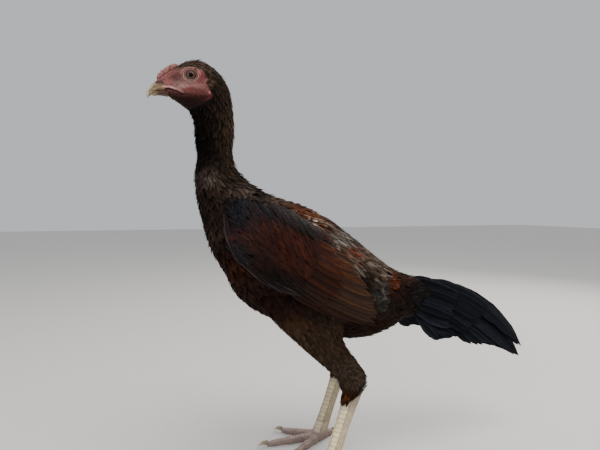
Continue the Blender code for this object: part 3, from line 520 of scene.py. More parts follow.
def head_relief(points):
    """How far the face's skin stands out: folds, ridges and hollows as bells across lines and rings."""
    x, z = points[..., 0], points[..., 2]
    eye_r = rings_of_eye(points)
    upper = np.clip((z - EYE[1]) / 0.006 + 0.3, 0, 1)
    out = -0.0060 * np.clip(1.25 - eye_r, 0, 0.5) / 0.5
    out += 0.0004 * bump(eye_r - 1.75, 0.16) * (0.4 + upper) - 0.0004 * bump(eye_r - 2.05, 0.12)
    out += 0.0009 * ridge_along(points, BROW, 0.0017)
    out -= 0.0011 * mound_at(points, (-0.2415, 0.4800), 0.0050, 0.0045)
    gape, share = line_distance(x, z, GAPE)
    out += 0.0011 * bump(gape, 0.0011) * np.clip(1.15 - share, 0, 1)
    out -= 0.0010 * ridge_along(points, SLIT, 0.0007)
    out += 0.0006 * ridge_along(points, CHEEKBONE, 0.0022)
    out += 0.0005 * ridge_along(points, FOLD_BEHIND_EYE, 0.0014)
    out += 0.0006 * ridge_along(points, FOLD_BEFORE_EAR, 0.0010)
    for drop, height in JAW_FOLDS:
        fold = [(JAW[0][0], JAW[0][1] - drop * 0.6), *((jx, jz - drop) for jx, jz in JAW[1:])]
        out += height * ridge_along(points, fold, 0.0012)
    out -= 0.0022 * dot_at(points, EAR, 0.0026)
    out += 0.0012 * bump(np.hypot((x - LOBE[0]) / 0.0034, (z - LOBE[1]) / 0.0046), 1.0)
    # fine folds that run back from the eye, then wrinkles in rings round it
    fine = np.sin((z - 0.10 * x) / 0.00085 + 1.8 * lumps(points, 0.009, 14)) * smooth_step(x, -0.2180, -0.2080)
    out += 0.00018 * fine * np.clip(eye_r - 1.7, 0, 1)
    wrinkle = np.sin(eye_r * 9.0 + 2.2 * lumps(points, 0.012, 9)) * 0.5 + lumps(points, 0.0040, 12) * 0.6
    out += 0.00026 * wrinkle * np.clip(eye_r - 1.2, 0, 1)
    return out * bareness(points) + brow_relief(points)


def face_colours(points):
    """The bare skin's colour: dusky pink, redder behind the eye, browner in front of it, darker below, with painted
    highlights on its folds and painted shade in its hollows.
    """
    x, z = points[..., 0], points[..., 2]
    eye_r = rings_of_eye(points)
    over_eye = np.clip((z - EYE[1]) / 0.004, 0, 1)
    jaw_line = 0.4670 - 0.10 * (x + 0.235)
    gape, along_gape = line_distance(x, z, GAPE)
    colours = np.broadcast_to(linear("#6d4641"), (*x.shape, 3))
    for code, share in (
        ("#8f524f", 0.7 * mound_at(points, (-0.2500, 0.4800), 0.0080, 0.0100)),  # over the nostril
        ("#5a3a32", 0.45 * mound_at(points, (-0.2360, 0.4850), 0.0095, 0.0080)),  # lores
        ("#46342b", 0.9 * mound_at(points, (-0.2350, 0.4925), 0.0080, 0.0045)),  # forehead
        ("#32130f", 0.95 * np.clip((jaw_line - z) / 0.0035, 0, 1)),  # under the jaw
        ("#160a08", 0.95 * np.clip((jaw_line - 0.0045 - z) / 0.0045, 0, 1)),  # throat
        ("#4a1f1b", 0.8 * mound_at(points, (-0.2150, 0.4660), 0.0100, 0.0040)),  # below the cheek
        ("#977470", 0.75 * mound_at(points, (-0.2335, 0.4715), 0.0100, 0.0055)),  # cheek, pale
        ("#85605c", 0.5 * mound_at(points, (-0.2170, 0.4725), 0.0080, 0.0050)),
        ("#3a1a19", 0.9 * mound_at(points, (-0.1990, 0.4590), 0.0080, 0.0090)),  # below the ear
        ("#6c2029", 0.75 * ridge_along(points, RED_STREAK, 0.0026)),
        ("#6a2526", 0.6 * ridge_along(points, ((-0.2300, 0.4655), (-0.2220, 0.4690)), 0.0022)),
        ("#b07a72", 0.7 * ridge_along(points, ((-0.2030, 0.4855), FOLD_BEFORE_EAR[1]), 0.0010)),
        # A painted highlight on the fold over the lids, and painted shade in the groove under it
        ("#b5857c", 0.5 * bump(eye_r - 1.72, 0.10) * over_eye),  # fold over the lids
        ("#5d3434", 0.8 * bump(eye_r - 1.42, 0.10) * over_eye),  # groove under it
        ("#b98c80", 1.1 * bump(gape, 0.0009) * np.clip(1.2 - along_gape, 0, 1)),  # edge of the mouth
        # The mouth's slit: painted shade, dark along its groove
        ("#24100e", 1.2 * ridge_along(points, SLIT, 0.0007)),
        ("#4a2226", 0.8 * dot_at(points, (LOBE[0] - 0.0010, LOBE[1] - 0.0040), 0.0045)),
        ("#2b1311", 0.9 * mound_at(points, (-0.2025, 0.4530), 0.0065, 0.0050)),  # corner of the throat
        # A small pale spot on the ear lobe's dark pink: a painted highlight
        ("#a8625f", 0.9 * dot_at(points, (LOBE[0] - 0.0004, LOBE[1] + 0.0012), 0.0015)),  # ear lobe
        # The ear's opening: painted shade, a dark dot in its hollow
        ("#2c1512", 0.9 * dot_at(points, EAR, 0.0026)),
    ):
        colours = faded(colours, code, np.clip(share, 0, 1)[..., None])
    shade = 1 + 0.18 * lumps(points, 0.006, 21) + 0.16 * lumps(points, 0.0022, 22)
    # Painted light and shade: raised folds lighter and hollows darker, by the skin's relief
    folds = np.clip(head_relief(points) / 0.0007, -1, 1)
    return colours * (np.clip(shade, 0.6, 1.4) * (1 + 0.35 * folds))[..., None]


def around(sides):
    """Angles of a whole turn, as a row for a grid."""
    return np.linspace(0, 2 * math.pi, sides, endpoint=False)[None, :]


def skin_rings(surface, stations, sides, depth, relief):
    """Rings of skin: the plumage's outside, moved along its way out by the relief less the coat's depth."""
    s, t = np.broadcast_arrays(stations[:, None], around(sides))
    outer = surface(s, t)
    return outer + facing(surface, s, t) * (relief(outer) - depth(s))[..., None]


def unwrap(stations, sides, corner, size):
    """The place of each skin point on the flat unwrap: turn across, station up, then both ends' middles."""
    t, s = np.broadcast_arrays(around(sides) / (2 * math.pi), stations[:, None] / stations[-1])
    flat = np.concatenate([np.stack([t, s], axis=-1).reshape(-1, 2), [[0.5, 0.0], [0.5, 1.0]]])
    return flat * size + corner


def body_coat_depth(s):
    """The coat's depth at stations of the body."""
    return np.interp(s, *COAT_DEPTH)


def thigh_coat_depth(s):
    """The coat's depth on the thighs, the same all over."""
    return np.full(np.shape(s), THIGH_COAT_DEPTH)


CUFF_END = THIGH_END - 0.1
CUFF_RISE = 1.1


def cuff_end(t):
    """The station where the thigh's coat ends: the cuff's end in front, less the rise * (1 - cos t) / 2 behind."""
    return CUFF_END - CUFF_RISE * (0.5 - 0.5 * np.cos(t))


# The skin's rings lie close on the head, where its folds are, and wider apart on the body
HEAD_END = NAPE + 0.5
HEAD_RINGS, BODY_RINGS, BODY_SIDES = 200, 110, 200
THIGH_RINGS, THIGH_SIDES = 60, 48
body_stations = np.concatenate([
    np.linspace(0.0, HEAD_END, HEAD_RINGS, endpoint=False), np.linspace(HEAD_END, TAIL_END, BODY_RINGS)
])
thigh_stations = np.linspace(0, THIGH_END, THIGH_RINGS)
rings = [skin_rings(body, body_stations, BODY_SIDES, body_coat_depth, head_relief)]
for side in (-1, 1):
    rings.append(skin_rings(thigh(side), thigh_stations, THIGH_SIDES, thigh_coat_depth, lambda outer: 0.0))
points, quads, fans = merged(rings)
maps = np.concatenate([
    unwrap(body_stations, BODY_SIDES, (0.0, 0.0), (0.70, 1.0)),
    unwrap(thigh_stations, THIGH_SIDES, (0.72, 0.0), (0.28, 0.48)),
    unwrap(thigh_stations, THIGH_SIDES, (0.72, 0.5), (0.28, 0.48)),
])
body_count = len(body_stations) * BODY_SIDES + 2
bare = bareness(points)
bare[body_count:] = 0

def tinted(material, shade):
    """A colour socket: the tint that each point of a piece carries, times a shade."""
    tint = node(material, "ShaderNodeAttribute", (("attribute_name", "tint"),))
    scaled = node(
        material, "ShaderNodeVectorMath", (("operation", "SCALE"),),
        (("Vector", tint.outputs["Color"]), ("Scale", shade)),
    )
    return scaled.outputs["Vector"]


# Living skin over fat and muscle, bare, thin and full of blood: soft light comes through it,
# it shines a little where it is stretched, and it is pebbled and finely creased.
hide, shader = new_material("living_skin")
place = node(hide, "ShaderNodeTexCoord").outputs["Object"]
PEBBLE_SIZE = 0.0011
CREASE_SIZE = 0.0024
pebbles = node(hide, "ShaderNodeTexVoronoi", (("Scale", 1 / PEBBLE_SIZE), ("Randomness", 1.0)), (("Vector", place),))
creases = node(
    hide, "ShaderNodeTexNoise", (("Scale", 1 / CREASE_SIZE), ("Detail", 5.0), ("Roughness", 0.65)),
    (("Vector", place),),
)
mottle = node(hide, "ShaderNodeMapRange", (("To Min", 0.72), ("To Max", 1.28)), (("Value", creases.outputs["Fac"]),))
hide.node_tree.links.new(tinted(hide, mottle.outputs["Result"]), shader.inputs["Base Color"])
height = node(
    hide, "ShaderNodeMath", (("operation", "MULTIPLY_ADD"), (1, 0.6)),
    ((0, pebbles.outputs["Distance"]), (2, creases.outputs["Fac"])),
)
node(
    hide, "ShaderNodeBump", (("Strength", 0.55), ("Distance", 0.0005)),
    (("Height", height.outputs["Value"]), (shader.inputs["Normal"], "Normal")),
)
shader.inputs["Roughness"].default_value = 0.50
shader.inputs["Subsurface Weight"].default_value = 0.12
shader.inputs["Subsurface Radius"].default_value = (0.0020, 0.0008, 0.0005)
shader.inputs["Specular IOR Level"].default_value = 0.07
skin_points = points
skin = put_mesh("skin", points, quads, fans, hide)
add_map(skin, maps)
# Under the coat the skin takes the coat's colours at this share: painted shade from the feathers over it
UNDER_COAT_PAINTED_SHADE = 0.6
skin_colours = face_colours(points) * bare[:, None] + plumage(points) * UNDER_COAT_PAINTED_SHADE * (1 - bare[:, None])
hock = smooth_step(thigh_stations[:, None] - cuff_end(around(THIGH_SIDES)), -0.10, 0.15).ravel()
hock = np.concatenate([np.zeros(body_count), hock, [0, 1], hock, [0, 1]])[:, None]
skin_colours = faded(skin_colours, "#93856f", hock)
add_colours(skin, "tint", skin_colours)
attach(skin, "root")
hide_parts("head", "neck", "torso", "thigh_left", "thigh_right", "ear_lobe_left", "ear_lobe_right")

# The coat: small contour feathers that grow in rows and lap like shingles, from hair-fine ones on
# the crown to broad ones on the breast and long pointed ones on the back. Each is a vane of keratin
# barbs on a shaft; its root sits in the skin and its free end lies on the rows behind it.
VANE_COLUMNS = 3
VANE_CREASE = 70.0
WING_SHOULDER = (-0.1720, 0.3130)
WING_SLOPE = math.radians(-34.0)


def wing_uv(x, z):
    """A place seen from the side as a distance along the folded wing and one across it."""
    dx, dz = x - WING_SHOULDER[0], z - WING_SHOULDER[1]
    c, s = math.cos(WING_SLOPE), math.sin(WING_SLOPE)
    return dx * c + dz * s, dz * c - dx * s


def vane_quads(steps, columns):
    """Quads of one vane as point numbers: an upper and a lower face that share their rim."""
    top = np.arange(steps * columns).reshape(steps, columns)
    under = top.copy()
    inner = under[1:-1, 1:-1]
    inner[:] = steps * columns + np.arange(inner.size).reshape(inner.shape)
    upper = np.stack([top[:-1, :-1], top[:-1, 1:], top[1:, 1:], top[1:, :-1]], axis=-1).reshape(-1, 4)
    lower = np.stack([under[:-1, :-1], under[1:, :-1], under[1:, 1:], under[:-1, 1:]], axis=-1).reshape(-1, 4)
    return np.concatenate([upper, lower])


def both_faces(values):
    """Values on a vane's grid for all its points: those of the upper face, then the lower one's inner points."""
    count, width = len(values), values.shape[-1]
    return np.concatenate([values.reshape(count, -1, width), values[:, 1:-1, 1:-1].reshape(count, -1, width)], axis=1)


def vanes(name, spine, across, out, half_width, camber, thickness, tints, roots, material, patch=(0.003, 0.003)):
    """One mesh of many vanes.

    spine, across and out are (feathers, steps, 3): the shaft's points, the way across and the way
    out. A point j from edge to edge (-1 to 1) lies at spine + across * width * j, sunk by
    camber * width * j^2 and raised by half the thickness * (1 - j^2). tints is (feathers, steps,
    columns, 3), roots the place of each root on the unwrap of the skin, patch the room it has there.
    """
    count, steps, columns = tints.shape[:3]
    j = np.linspace(-1, 1, columns)[None, None, :, None]
    wide = half_width[:, :, None, None]
    middle = spine[:, :, None] + across[:, :, None] * wide * j - out[:, :, None] * camber * wide * j**2
    swell = out[:, :, None] * (thickness / 2 * (1 - j**2))
    upper, lower = middle + swell, (middle - swell)[:, 1:-1, 1:-1]
    points = np.concatenate([upper.reshape(count, -1, 3), lower.reshape(count, -1, 3)], axis=1)
    starts = np.arange(count) * points.shape[1]
    quads = vane_quads(steps, columns)[None] + starts[:, None, None]
    made = put_mesh(name, points.reshape(-1, 3), quads.reshape(-1, 4), NO_TRIANGLES, material, VANE_CREASE)
    add_colours(made, "tint", both_faces(tints).reshape(-1, 3))
    # where each point lies on its vane: across, along, and a number of the vane's own
    own = np.arange(count) * 0.618 % 1
    grid = np.broadcast_arrays(j[..., 0], np.linspace(0, 1, steps)[None, :, None], own[:, None, None])
    place = both_faces(np.stack(grid, axis=-1))
    layer = made.data.attributes.new("vane", "FLOAT_VECTOR", "POINT")
    layer.data.foreach_set("vector", place.astype(np.float32).ravel())
    local = (place[..., :2] * (0.5, 1.0) + (0.0, -0.5)) * patch
    add_map(made, (roots[:, None, :] + local).reshape(-1, 2))
    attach(made, "root")
    return made


def vane_shape(steps, point):
    """A vane's half width along it, as a share.

    It is the least of 1 and 0.45 + 1.7 g, times a tip: round, sqrt(1 - g^5), or by the share
    point drawn out to a point, 1 - g^2.2.
    """
    share = np.linspace(0, 1, steps)
    closed = np.sqrt(np.clip(1 - share**5, 0, 1))
    narrow = np.clip(1 - share**2.2, 0, 1)
    open_part = np.minimum(1, 0.45 + 1.7 * share)
    tip = closed[None, :] * (1 - point[:, None]) + narrow[None, :] * point[:, None]
    return np.maximum(open_part[None, :] * tip, 0.05)


# Feather keratin: matt from its loose barbs, with a faint sheen. The barbs run out and forward
# from the shaft about half a millimetre apart. That is too fine to show, so fewer are drawn to
# each vane's length. They hang together in tangles a few millimetres wide.
TANGLE_SIZE = 0.0038


def barbed(name, barbs, roughness, specular, blue=None):
    """The finish of vanes: their tint with slanting barbs, a number to each vane, and a blue gloss where asked."""
    made, shader = new_material(name)
    vane_place = node(made, "ShaderNodeAttribute", (("attribute_name", "vane"),))
    parts = node(made, "ShaderNodeSeparateXYZ", (), (("Vector", vane_place.outputs["Vector"]),))
    side = node(made, "ShaderNodeMath", (("operation", "ABSOLUTE"),), ((0, parts.outputs["X"]),))
    slant = node(
        made, "ShaderNodeMath", (("operation", "MULTIPLY_ADD"), (1, -0.35)),
        ((0, side.outputs["Value"]), (2, parts.outputs["Y"])),
    )
    place = node(made, "ShaderNodeTexCoord").outputs["Object"]
    loose = node(made, "ShaderNodeTexNoise", (("Scale", 1 / TANGLE_SIZE), ("Detail", 3.0)), (("Vector", place),))
    wave = node(
        made, "ShaderNodeMath", (("operation", "MULTIPLY_ADD"), (1, barbs * 6.28)),
        ((0, slant.outputs["Value"]), (2, loose.outputs["Fac"])),
    )
    lines = node(made, "ShaderNodeMath", (("operation", "SINE"),), ((0, wave.outputs["Value"]),))
    shade = node(
        made, "ShaderNodeMapRange", (("From Min", -1.0), ("To Min", 0.82), ("To Max", 1.18)),
        (("Value", lines.outputs["Value"]),),
    )
    patchy = node(
        made, "ShaderNodeMapRange", (("To Min", 0.62), ("To Max", 1.38)), (("Value", loose.outputs["Fac"]),)
    )
    both = node(
        made, "ShaderNodeMath", (("operation", "MULTIPLY"),),
        ((0, shade.outputs["Result"]), (1, patchy.outputs["Result"])),
    )
    result = tinted(made, both.outputs["Value"])
    if blue:
        facing_away = node(made, "ShaderNodeLayerWeight", (("Blend", 0.35),))
        result = node(
            made, "ShaderNodeMixRGB", (("blend_type", "ADD"), ("Color2", rgba(blue))),
            (("Fac", facing_away.outputs["Facing"]), ("Color1", result)),
        ).outputs["Color"]
    made.node_tree.links.new(result, shader.inputs["Base Color"])
    node(
        made, "ShaderNodeBump", (("Strength", 0.30), ("Distance", 0.0004)),
        (("Height", lines.outputs["Value"]), (shader.inputs["Normal"], "Normal")),
    )
    shader.inputs["Roughness"].default_value = roughness
    shader.inputs["Specular IOR Level"].default_value = specular
    return made


contour_keratin = barbed("contour_feather_keratin", 5.0, 0.65, 0.035)

COAT_CAMBER = 0.16
COAT_THICKNESS = 0.00035
# Rows are measured at so many places round the surface, over a step of s; a place strays by a share
RING_PLACES = 97
PACE_STEP = 0.05
JITTER = 0.30


def rows_on(surface, first, last, row_gap, side_gap, rng):
    """Root places (s, t, row gap as a share of s) in staggered rows over a surface.

    row_gap and side_gap are in metres, each a function of s. Each place is moved by a random
    share of its gaps.
    """
    found = []
    turn = np.linspace(0, 2 * math.pi, RING_PLACES)
    s, number = first, 0
    while s < last:
        ring = surface(np.full(RING_PLACES, s), turn)
        beside = surface(np.full(RING_PLACES, s + PACE_STEP), turn)
        pace = np.linalg.norm(beside - ring, axis=1).mean() / PACE_STEP
        step = row_gap(s) / pace
        length = np.concatenate([[0], np.cumsum(np.linalg.norm(np.diff(ring, axis=0), axis=1))])
        count = max(6, int(length[-1] / side_gap(s)))
        at = (np.arange(count) + 0.5 * (number % 2) + rng.uniform(-JITTER, JITTER, count)) / count * length[-1]
        t = np.interp(at % length[-1], length, turn)
        found.append(np.stack([s + rng.uniform(-JITTER, JITTER, count) * step, t, np.full(count, step)], axis=1))
        s += step
        number += 1
    return np.concatenate(found)


def coat(name, surface, places, reach, width, depth, point, wildness, colours, end, steps=6, stand=0.0001):
    """Feathers over a surface, one at each place.

    reach is each feather's length in rows, width its half width, stand how far its tip stands off.
    The shaft runs along the surface at rising s, a little astray, and climbs from the skin to
    just under the coat's outside by a power of the share still to go.
    """
    rng = np.random.default_rng(len(places))
    s0, t0, gap = places[:, 0:1], places[:, 1:2], places[:, 2:3]
    share = np.linspace(0, 1, steps)[None, :]
    stray = rng.normal(0, 1, (len(places), 1)) * wildness
    s = np.minimum(s0 + gap * reach[:, None] * share, end)
    t = t0 + stray * 0.10 * share
    base = surface(s, t)
    out = facing(surface, s, t)
    base = base + out * brow_relief(base)[..., None]
    raised = rng.random((len(places), 1)) ** 6 * 0.0016 * wildness + rng.uniform(-0.0002, 0.0003, (len(places), 1))
    lift = -depth(s) * (1 - share) ** 1.3 * 1.05 + stand * share**0.6 + raised * share**1.5
    spine = base + out * lift[..., None]
    ahead = np.gradient(spine, axis=1)
    ahead /= np.linalg.norm(ahead, axis=-1, keepdims=True) + 1e-12
    across = np.cross(ahead, out)
    roll = rng.normal(0, 0.10, (len(places), 1, 1)) * wildness
    across = across + out * roll
    half = width[:, None] * vane_shape(steps, point)
    tints = colours(base, t0, rng)
    roots = np.stack([t0[:, 0] / (2 * math.pi), s0[:, 0] / end], axis=1)
    return vanes(name, spine, across, out, half, COAT_CAMBER, COAT_THICKNESS, tints, roots, contour_keratin)


def streaked(points, tip_code, tip_share, shaft_share, rng, spread):
    """Tints for vanes: the coat's colour at the root, a shade of its own, a darker shaft and a tinged rim."""
    count, steps = points.shape[:2]
    own = plumage(points[:, :1])
    own = own * (1 + rng.normal(0, spread, (count, 1, 1)))
    own = own * (1 + rng.normal(0, 0.05, (count, 1, 3)))
    share = np.linspace(0, 1, steps)[None, :, None, None]
    j = np.linspace(-1, 1, VANE_COLUMNS)[None, None, :, None]
    tint = own[:, :, None] * (0.72 + 0.5 * share)
    tint = tint * (1 - shaft_share * (1 - np.abs(j)))
    tip = 1.8 * own[:, :, None] + 0.2 * linear(tip_code)
    tint = tint + (tip - tint) * tip_share * share**4 * rng.random((count, 1, 1, 1))
    return np.clip(np.broadcast_to(tint, (count, steps, VANE_COLUMNS, 3)), 0.001, 1)


# The crown, nape and neck: short narrow feathers of keratin, tight on the crown and looser down
# the neck. They grow from the skin in rows, and more thinly towards the bare face.
rng = np.random.default_rng(3)
places = rows_on(
    body, 1.2, 8.3, lambda s: 0.0011 + 0.00045 * max(0, s - 2.5), lambda s: 0.0012 + 0.00035 * max(0, s - 2.5), rng
)
roots = body(places[:, 0], places[:, 1])
front = smooth_step(-places[:, 0], -3.6, -2.2)
places = places[(bareness(roots) < 0.25) & (rng.random(len(places)) > 0.45 * front)]
grow = np.clip((places[:, 0] - 2.5) / 5.5, 0, 1)
crown = coat(
    "crown_feathers", body, places, np.full(len(places), 3.8), 0.0007 + 0.0014 * grow,
    lambda s: body_coat_depth(s) + 0.0003, 0.5 + 0.2 * grow, 1.4,
    lambda points, t, rng: streaked(points, "#5c4a3a", 0.6, 0.25, rng, 0.38), TAIL_END, 5, 0.0009,
)

places = rows_on(
    body, 8.1, 14.2, lambda s: 0.0031 + 0.0003 * max(0, s - 10), lambda s: 0.0024 + 0.00036 * max(0, s - 10), rng
)
grow = np.clip((places[:, 0] - 8) / 5, 0, 1)
neck_coat = coat(
    "neck_feathers", body, places, 4.2 - 0.4 * grow, 0.0014 + 0.0013 * grow, body_coat_depth, 0.75 - 0.3 * grow, 1.5,
    lambda points, t, rng: streaked(points, "#241a13", 0.3, 0.2, rng, 0.35), TAIL_END,
)

# The trunk: breast and belly feathers are broad and round, those of the back long and pointed.
# None grow where the folded wing lies against the body.
WING_BED = ((0.006, 0.165), (-0.026, 0.022))
# A painted highlight: a small white spot on the back over the wing's upper edge
BACK_PAINTED_HIGHLIGHT = (-0.1010, 0.3230)


def upness(t):
    """1 on the back, 0 on the sides and below."""
    return np.clip((np.cos(t) - 0.15) / 0.5, 0, 1)


places = rows_on(body, 13.6, 21.8, lambda s: 0.0054, lambda s: 0.0047, rng)
roots = body(places[:, 0], places[:, 1])
u, v = wing_uv(roots[:, 0], roots[:, 2])
(bed_front, bed_rear), (bed_low, bed_high) = WING_BED
under_wing = (u > bed_front) & (u < bed_rear) & (v > bed_low) & (v < bed_high) & (np.abs(roots[:, 1]) > 0.02)
places = places[~under_wing]
back = upness(places[:, 1]) * np.clip((places[:, 0] - 13.8) / 1.2, 0, 1)


def trunk_tints(points, t, rng):
    """The coat's tints, with some feathers of the back darker, some pale-rimmed, and a painted white highlight on the
    left.
    """
    x, y, z = (points[:, :1, None, k : k + 1] for k in range(3))
    tint = streaked(points, "#4d4034", 0.5, 0.22, rng, 0.30)
    upper = upness(t)[:, :, None, None]
    dark = (rng.random((len(t), 1, 1, 1)) < 0.30) * upper
    tint = tint * (1 - 0.55 * dark)
    pale = (rng.random((len(t), 1, 1, 1)) < 0.22) * upper * (x < 0.018)
    rim = np.abs(np.linspace(-1, 1, VANE_COLUMNS))[None, None, :, None]
    tint = faded(tint, "#988b7d", pale * rim * 0.65)
    # The painted white highlight, on the left side only, near the feathers' tips
    painted_highlight = bump(x - BACK_PAINTED_HIGHLIGHT[0], 0.0032) * bump(z - BACK_PAINTED_HIGHLIGHT[1], 0.0028)
    painted_highlight = painted_highlight * smooth_step(np.linspace(0, 1, points.shape[1]), 0.70, 0.84)[None, :, None, None]
    return faded(tint, "#d8d0c6", painted_highlight * (y < 0) * 0.9)


trunk = coat(
    "trunk_feathers", body, places, 3.5 + 3.0 * back, 0.0040 - 0.0017 * back, body_coat_depth,
    0.15 + 0.75 * back, 1.1, trunk_tints, TAIL_END, 7,
)

# The thighs: small feathers of keratin, rooted in the thin hide, that run down the leg to a ragged
# cuff over the hock, with a rust patch in front of it.
RUST_PATCH = (-0.049, 0.108)
for side, suffix in ((-1, "left"), (1, "right")):
    rng = np.random.default_rng(17)
    surface = thigh(side)
    places = rows_on(
        surface, 0.4, THIGH_END - 0.45, lambda s: 0.0044 - 0.0002 * s, lambda s: 0.0038 - 0.0002 * s, rng
    )
    below = cuff_end(places[:, 1]) + rng.normal(0, 0.16, len(places)) - places[:, 0]
    reach = np.clip(below / places[:, 2], 0, 3.7)
    places, reach = places[reach > 0.9], reach[reach > 0.9]
    low = np.clip(places[:, 0] / THIGH_END, 0, 1)

    def thigh_tints(points, t, rng):
        """The coat's tints, browner in the middle and greyer low down, with the rust patch."""
        x, z = points[:, :1, None, 0:1], points[:, :1, None, 2:3]
        each = (len(t), 1, 1, 1)
        tint = streaked(points, "#2c231a", 0.4, 0.2, rng, 0.30)
        brown = faded(linear("#35281d"), "#40352b", smooth_step(-z, -0.165, -0.140))
        middle = smooth_step(-z, -0.215, -0.190) * (1 - smooth_step(-z, -0.125, -0.110)) * rng.uniform(0.3, 1.0, each)
        tint = tint + (brown * rng.uniform(0.7, 1.5, each) - tint) * middle * 0.85
        rust = bump(x - RUST_PATCH[0] - (STRIDE if side > 0 else 0), 0.010) * bump(z - RUST_PATCH[1], 0.010)
        return faded(tint, "#43220f", rust * 0.6)

    made = coat(
        f"thigh_feathers_{suffix}", surface, places, reach, 0.0030 - 0.0010 * low, thigh_coat_depth,
        0.35 + 0.3 * low, 1.0, thigh_tints, THIGH_END,
    )

# The eyes: a wet ball with a brown-grey iris, darker at its rim, round a black pupil. The clear
# cornea over it is the gloss of its coat. It sits in its socket behind the lids.
PUPIL_RADIUS = 0.0027
IRIS_RADIUS = 0.0055


def eyeball(side):
    """A ball with its pole outward, radius * (sin p cos a, cos p, sin p sin a), ringed at its colours' borders."""
    borders = np.array([0.0003, PUPIL_RADIUS, PUPIL_RADIUS + 0.0002, IRIS_RADIUS, IRIS_RADIUS + 0.0003])
    limits = [*np.arcsin(borders / EYE_RADIUS), math.pi * 0.97]
    parts = [np.linspace(limits[2 * k], limits[2 * k + 1], rings) for k, rings in enumerate((7, 14, 24))]
    polar = np.concatenate(parts)[:, None]
    turn = around(72)
    x = EYE[0] + EYE_RADIUS * np.sin(polar) * np.cos(turn)
    y = side * (EYE_SIDE + EYE_RADIUS * np.cos(polar) + 0 * turn)
    z = EYE[1] + EYE_RADIUS * np.sin(polar) * np.sin(turn)
    return np.stack([x, y, z], axis=-1)


# The ball's clear film of water makes it glossy; the iris under it is finely fibrous.
wet_eye, shader = new_material("wet_eye")
place = node(wet_eye, "ShaderNodeTexCoord").outputs["Object"]
FIBRE_SIZE = 0.0004
fibres = node(wet_eye, "ShaderNodeTexNoise", (("Scale", 1 / FIBRE_SIZE), ("Detail", 2.0)), (("Vector", place),))
shade = node(wet_eye, "ShaderNodeMapRange", (("To Min", 0.75), ("To Max", 1.25)), (("Value", fibres.outputs["Fac"]),))
wet_eye.node_tree.links.new(tinted(wet_eye, shade.outputs["Result"]), shader.inputs["Base Color"])
shader.inputs["Roughness"].default_value = 0.25
shader.inputs["Coat Weight"].default_value = 0.07
shader.inputs["Specular IOR Level"].default_value = 0.06
shader.inputs["Coat Roughness"].default_value = 0.03
for side, suffix in ((-1, "left"), (1, "right")):
    points, quads, fans = closed_loft(eyeball(side))
    eye = put_mesh(f"eye_{suffix}_ball", points, quads, fans, wet_eye)
    beside, above = points[:, 0] - EYE[0], points[:, 2] - EYE[1]
    r, turn = np.hypot(beside, above), np.arctan2(above, beside)
    streaks = 1 + 0.16 * np.sin(turn * 23) * np.sin(turn * 9 + 1.0) + 0.10 * np.sin(turn * 41)
    iris = faded(linear("#5a4439"), "#35261f", smooth_step(r, 0.0032, IRIS_RADIUS)[:, None])
    iris = faded(iris, "#251a17", bump(r - 0.0043, 0.0004)[:, None] * 0.6)
    colours = iris * streaks[:, None]
    colours = np.where(r[:, None] < PUPIL_RADIUS + 0.0001, linear("#0a0504"), colours)
    colours = np.where(r[:, None] > IRIS_RADIUS + 0.0001, linear("#3a2a26"), colours)
    add_colours(eye, "tint", colours)
    add_map(eye, points[:, (0, 2)] * MAP_SCALE + (2.3, -3.4))
    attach(eye, "root")
    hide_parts(f"eye_{suffix}")

# The lids: two rims of bare skin round the eyeball, an inner one beaded along its edge and an
# outer fold, painted pale where they stand out as a highlight, and painted dark as shade in the
# groove between, next to the eyeball and under the brow.
LID_INNER, LID_OUTER = 0.93, 1.50
LID_SIDES, LID_ROWS = 96, 17


def skin_side(x, z, side):
    """How far out the head's skin lies at places seen from the side.

    It is the mean of the skin's points there, each weighed by exp(-(distance / 0.5 mm)^2).
    """
    head = (skin_points[:, 0] > -0.27) & (skin_points[:, 0] < -0.19) & (skin_points[:, 2] > 0.44)
    near = skin_points[head & (skin_points[:, 1] * side > 0.001)]
    away = (x.ravel()[:, None] - near[:, 0]) ** 2 + (z.ravel()[:, None] - near[:, 2]) ** 2
    weight = np.exp(-away / 0.0005**2) + 1e-9
    return ((weight * np.abs(near[:, 1])).sum(axis=1) / weight.sum(axis=1)).reshape(x.shape)


def lid_ring(side):
    """Both lids as one closed ring: from under the opening's edge, over a bead-edged rim, to the skin."""
    turn = around(LID_SIDES).T
    share = np.linspace(0, 1, LID_ROWS)[None, :]
    r = LID_INNER + (LID_OUTER - LID_INNER) * share
    x = EYE[0] + LID_OPENING[0] * r * np.cos(turn)
    z = EYE[1] + LID_OPENING[1] * r * np.sin(turn)
    flat = np.hypot(x - EYE[0], z - EYE[1])
    ball = EYE_SIDE + np.sqrt(np.clip(EYE_RADIUS**2 - flat**2, 0, None))
    outer = smooth_step(share, 0.05, 0.75)
    y = ball * (1 - outer) + skin_side(x, z, side) * outer
    y = y + 0.0011 * bump(share - 0.22, 0.17) + 0.0008 * bump(share - 0.68, 0.14)
    beads = np.sin(turn * 34) * 0.00012 * bump(share - 0.18, 0.10)
    y = y + beads + 0.00010 * lumps(np.stack([x, 0 * x, z], axis=-1), 0.0016, 31)
    y = y - 0.0012 * smooth_step(share, 0.86, 1.0)
    top = np.stack([x, side * y, z], axis=-1)
    under = top - np.array([0, side * 0.0016, 0]) * (0.35 + 0.65 * np.sin(share * math.pi))[..., None]
    return np.concatenate([top, under[:, ::-1]], axis=1)


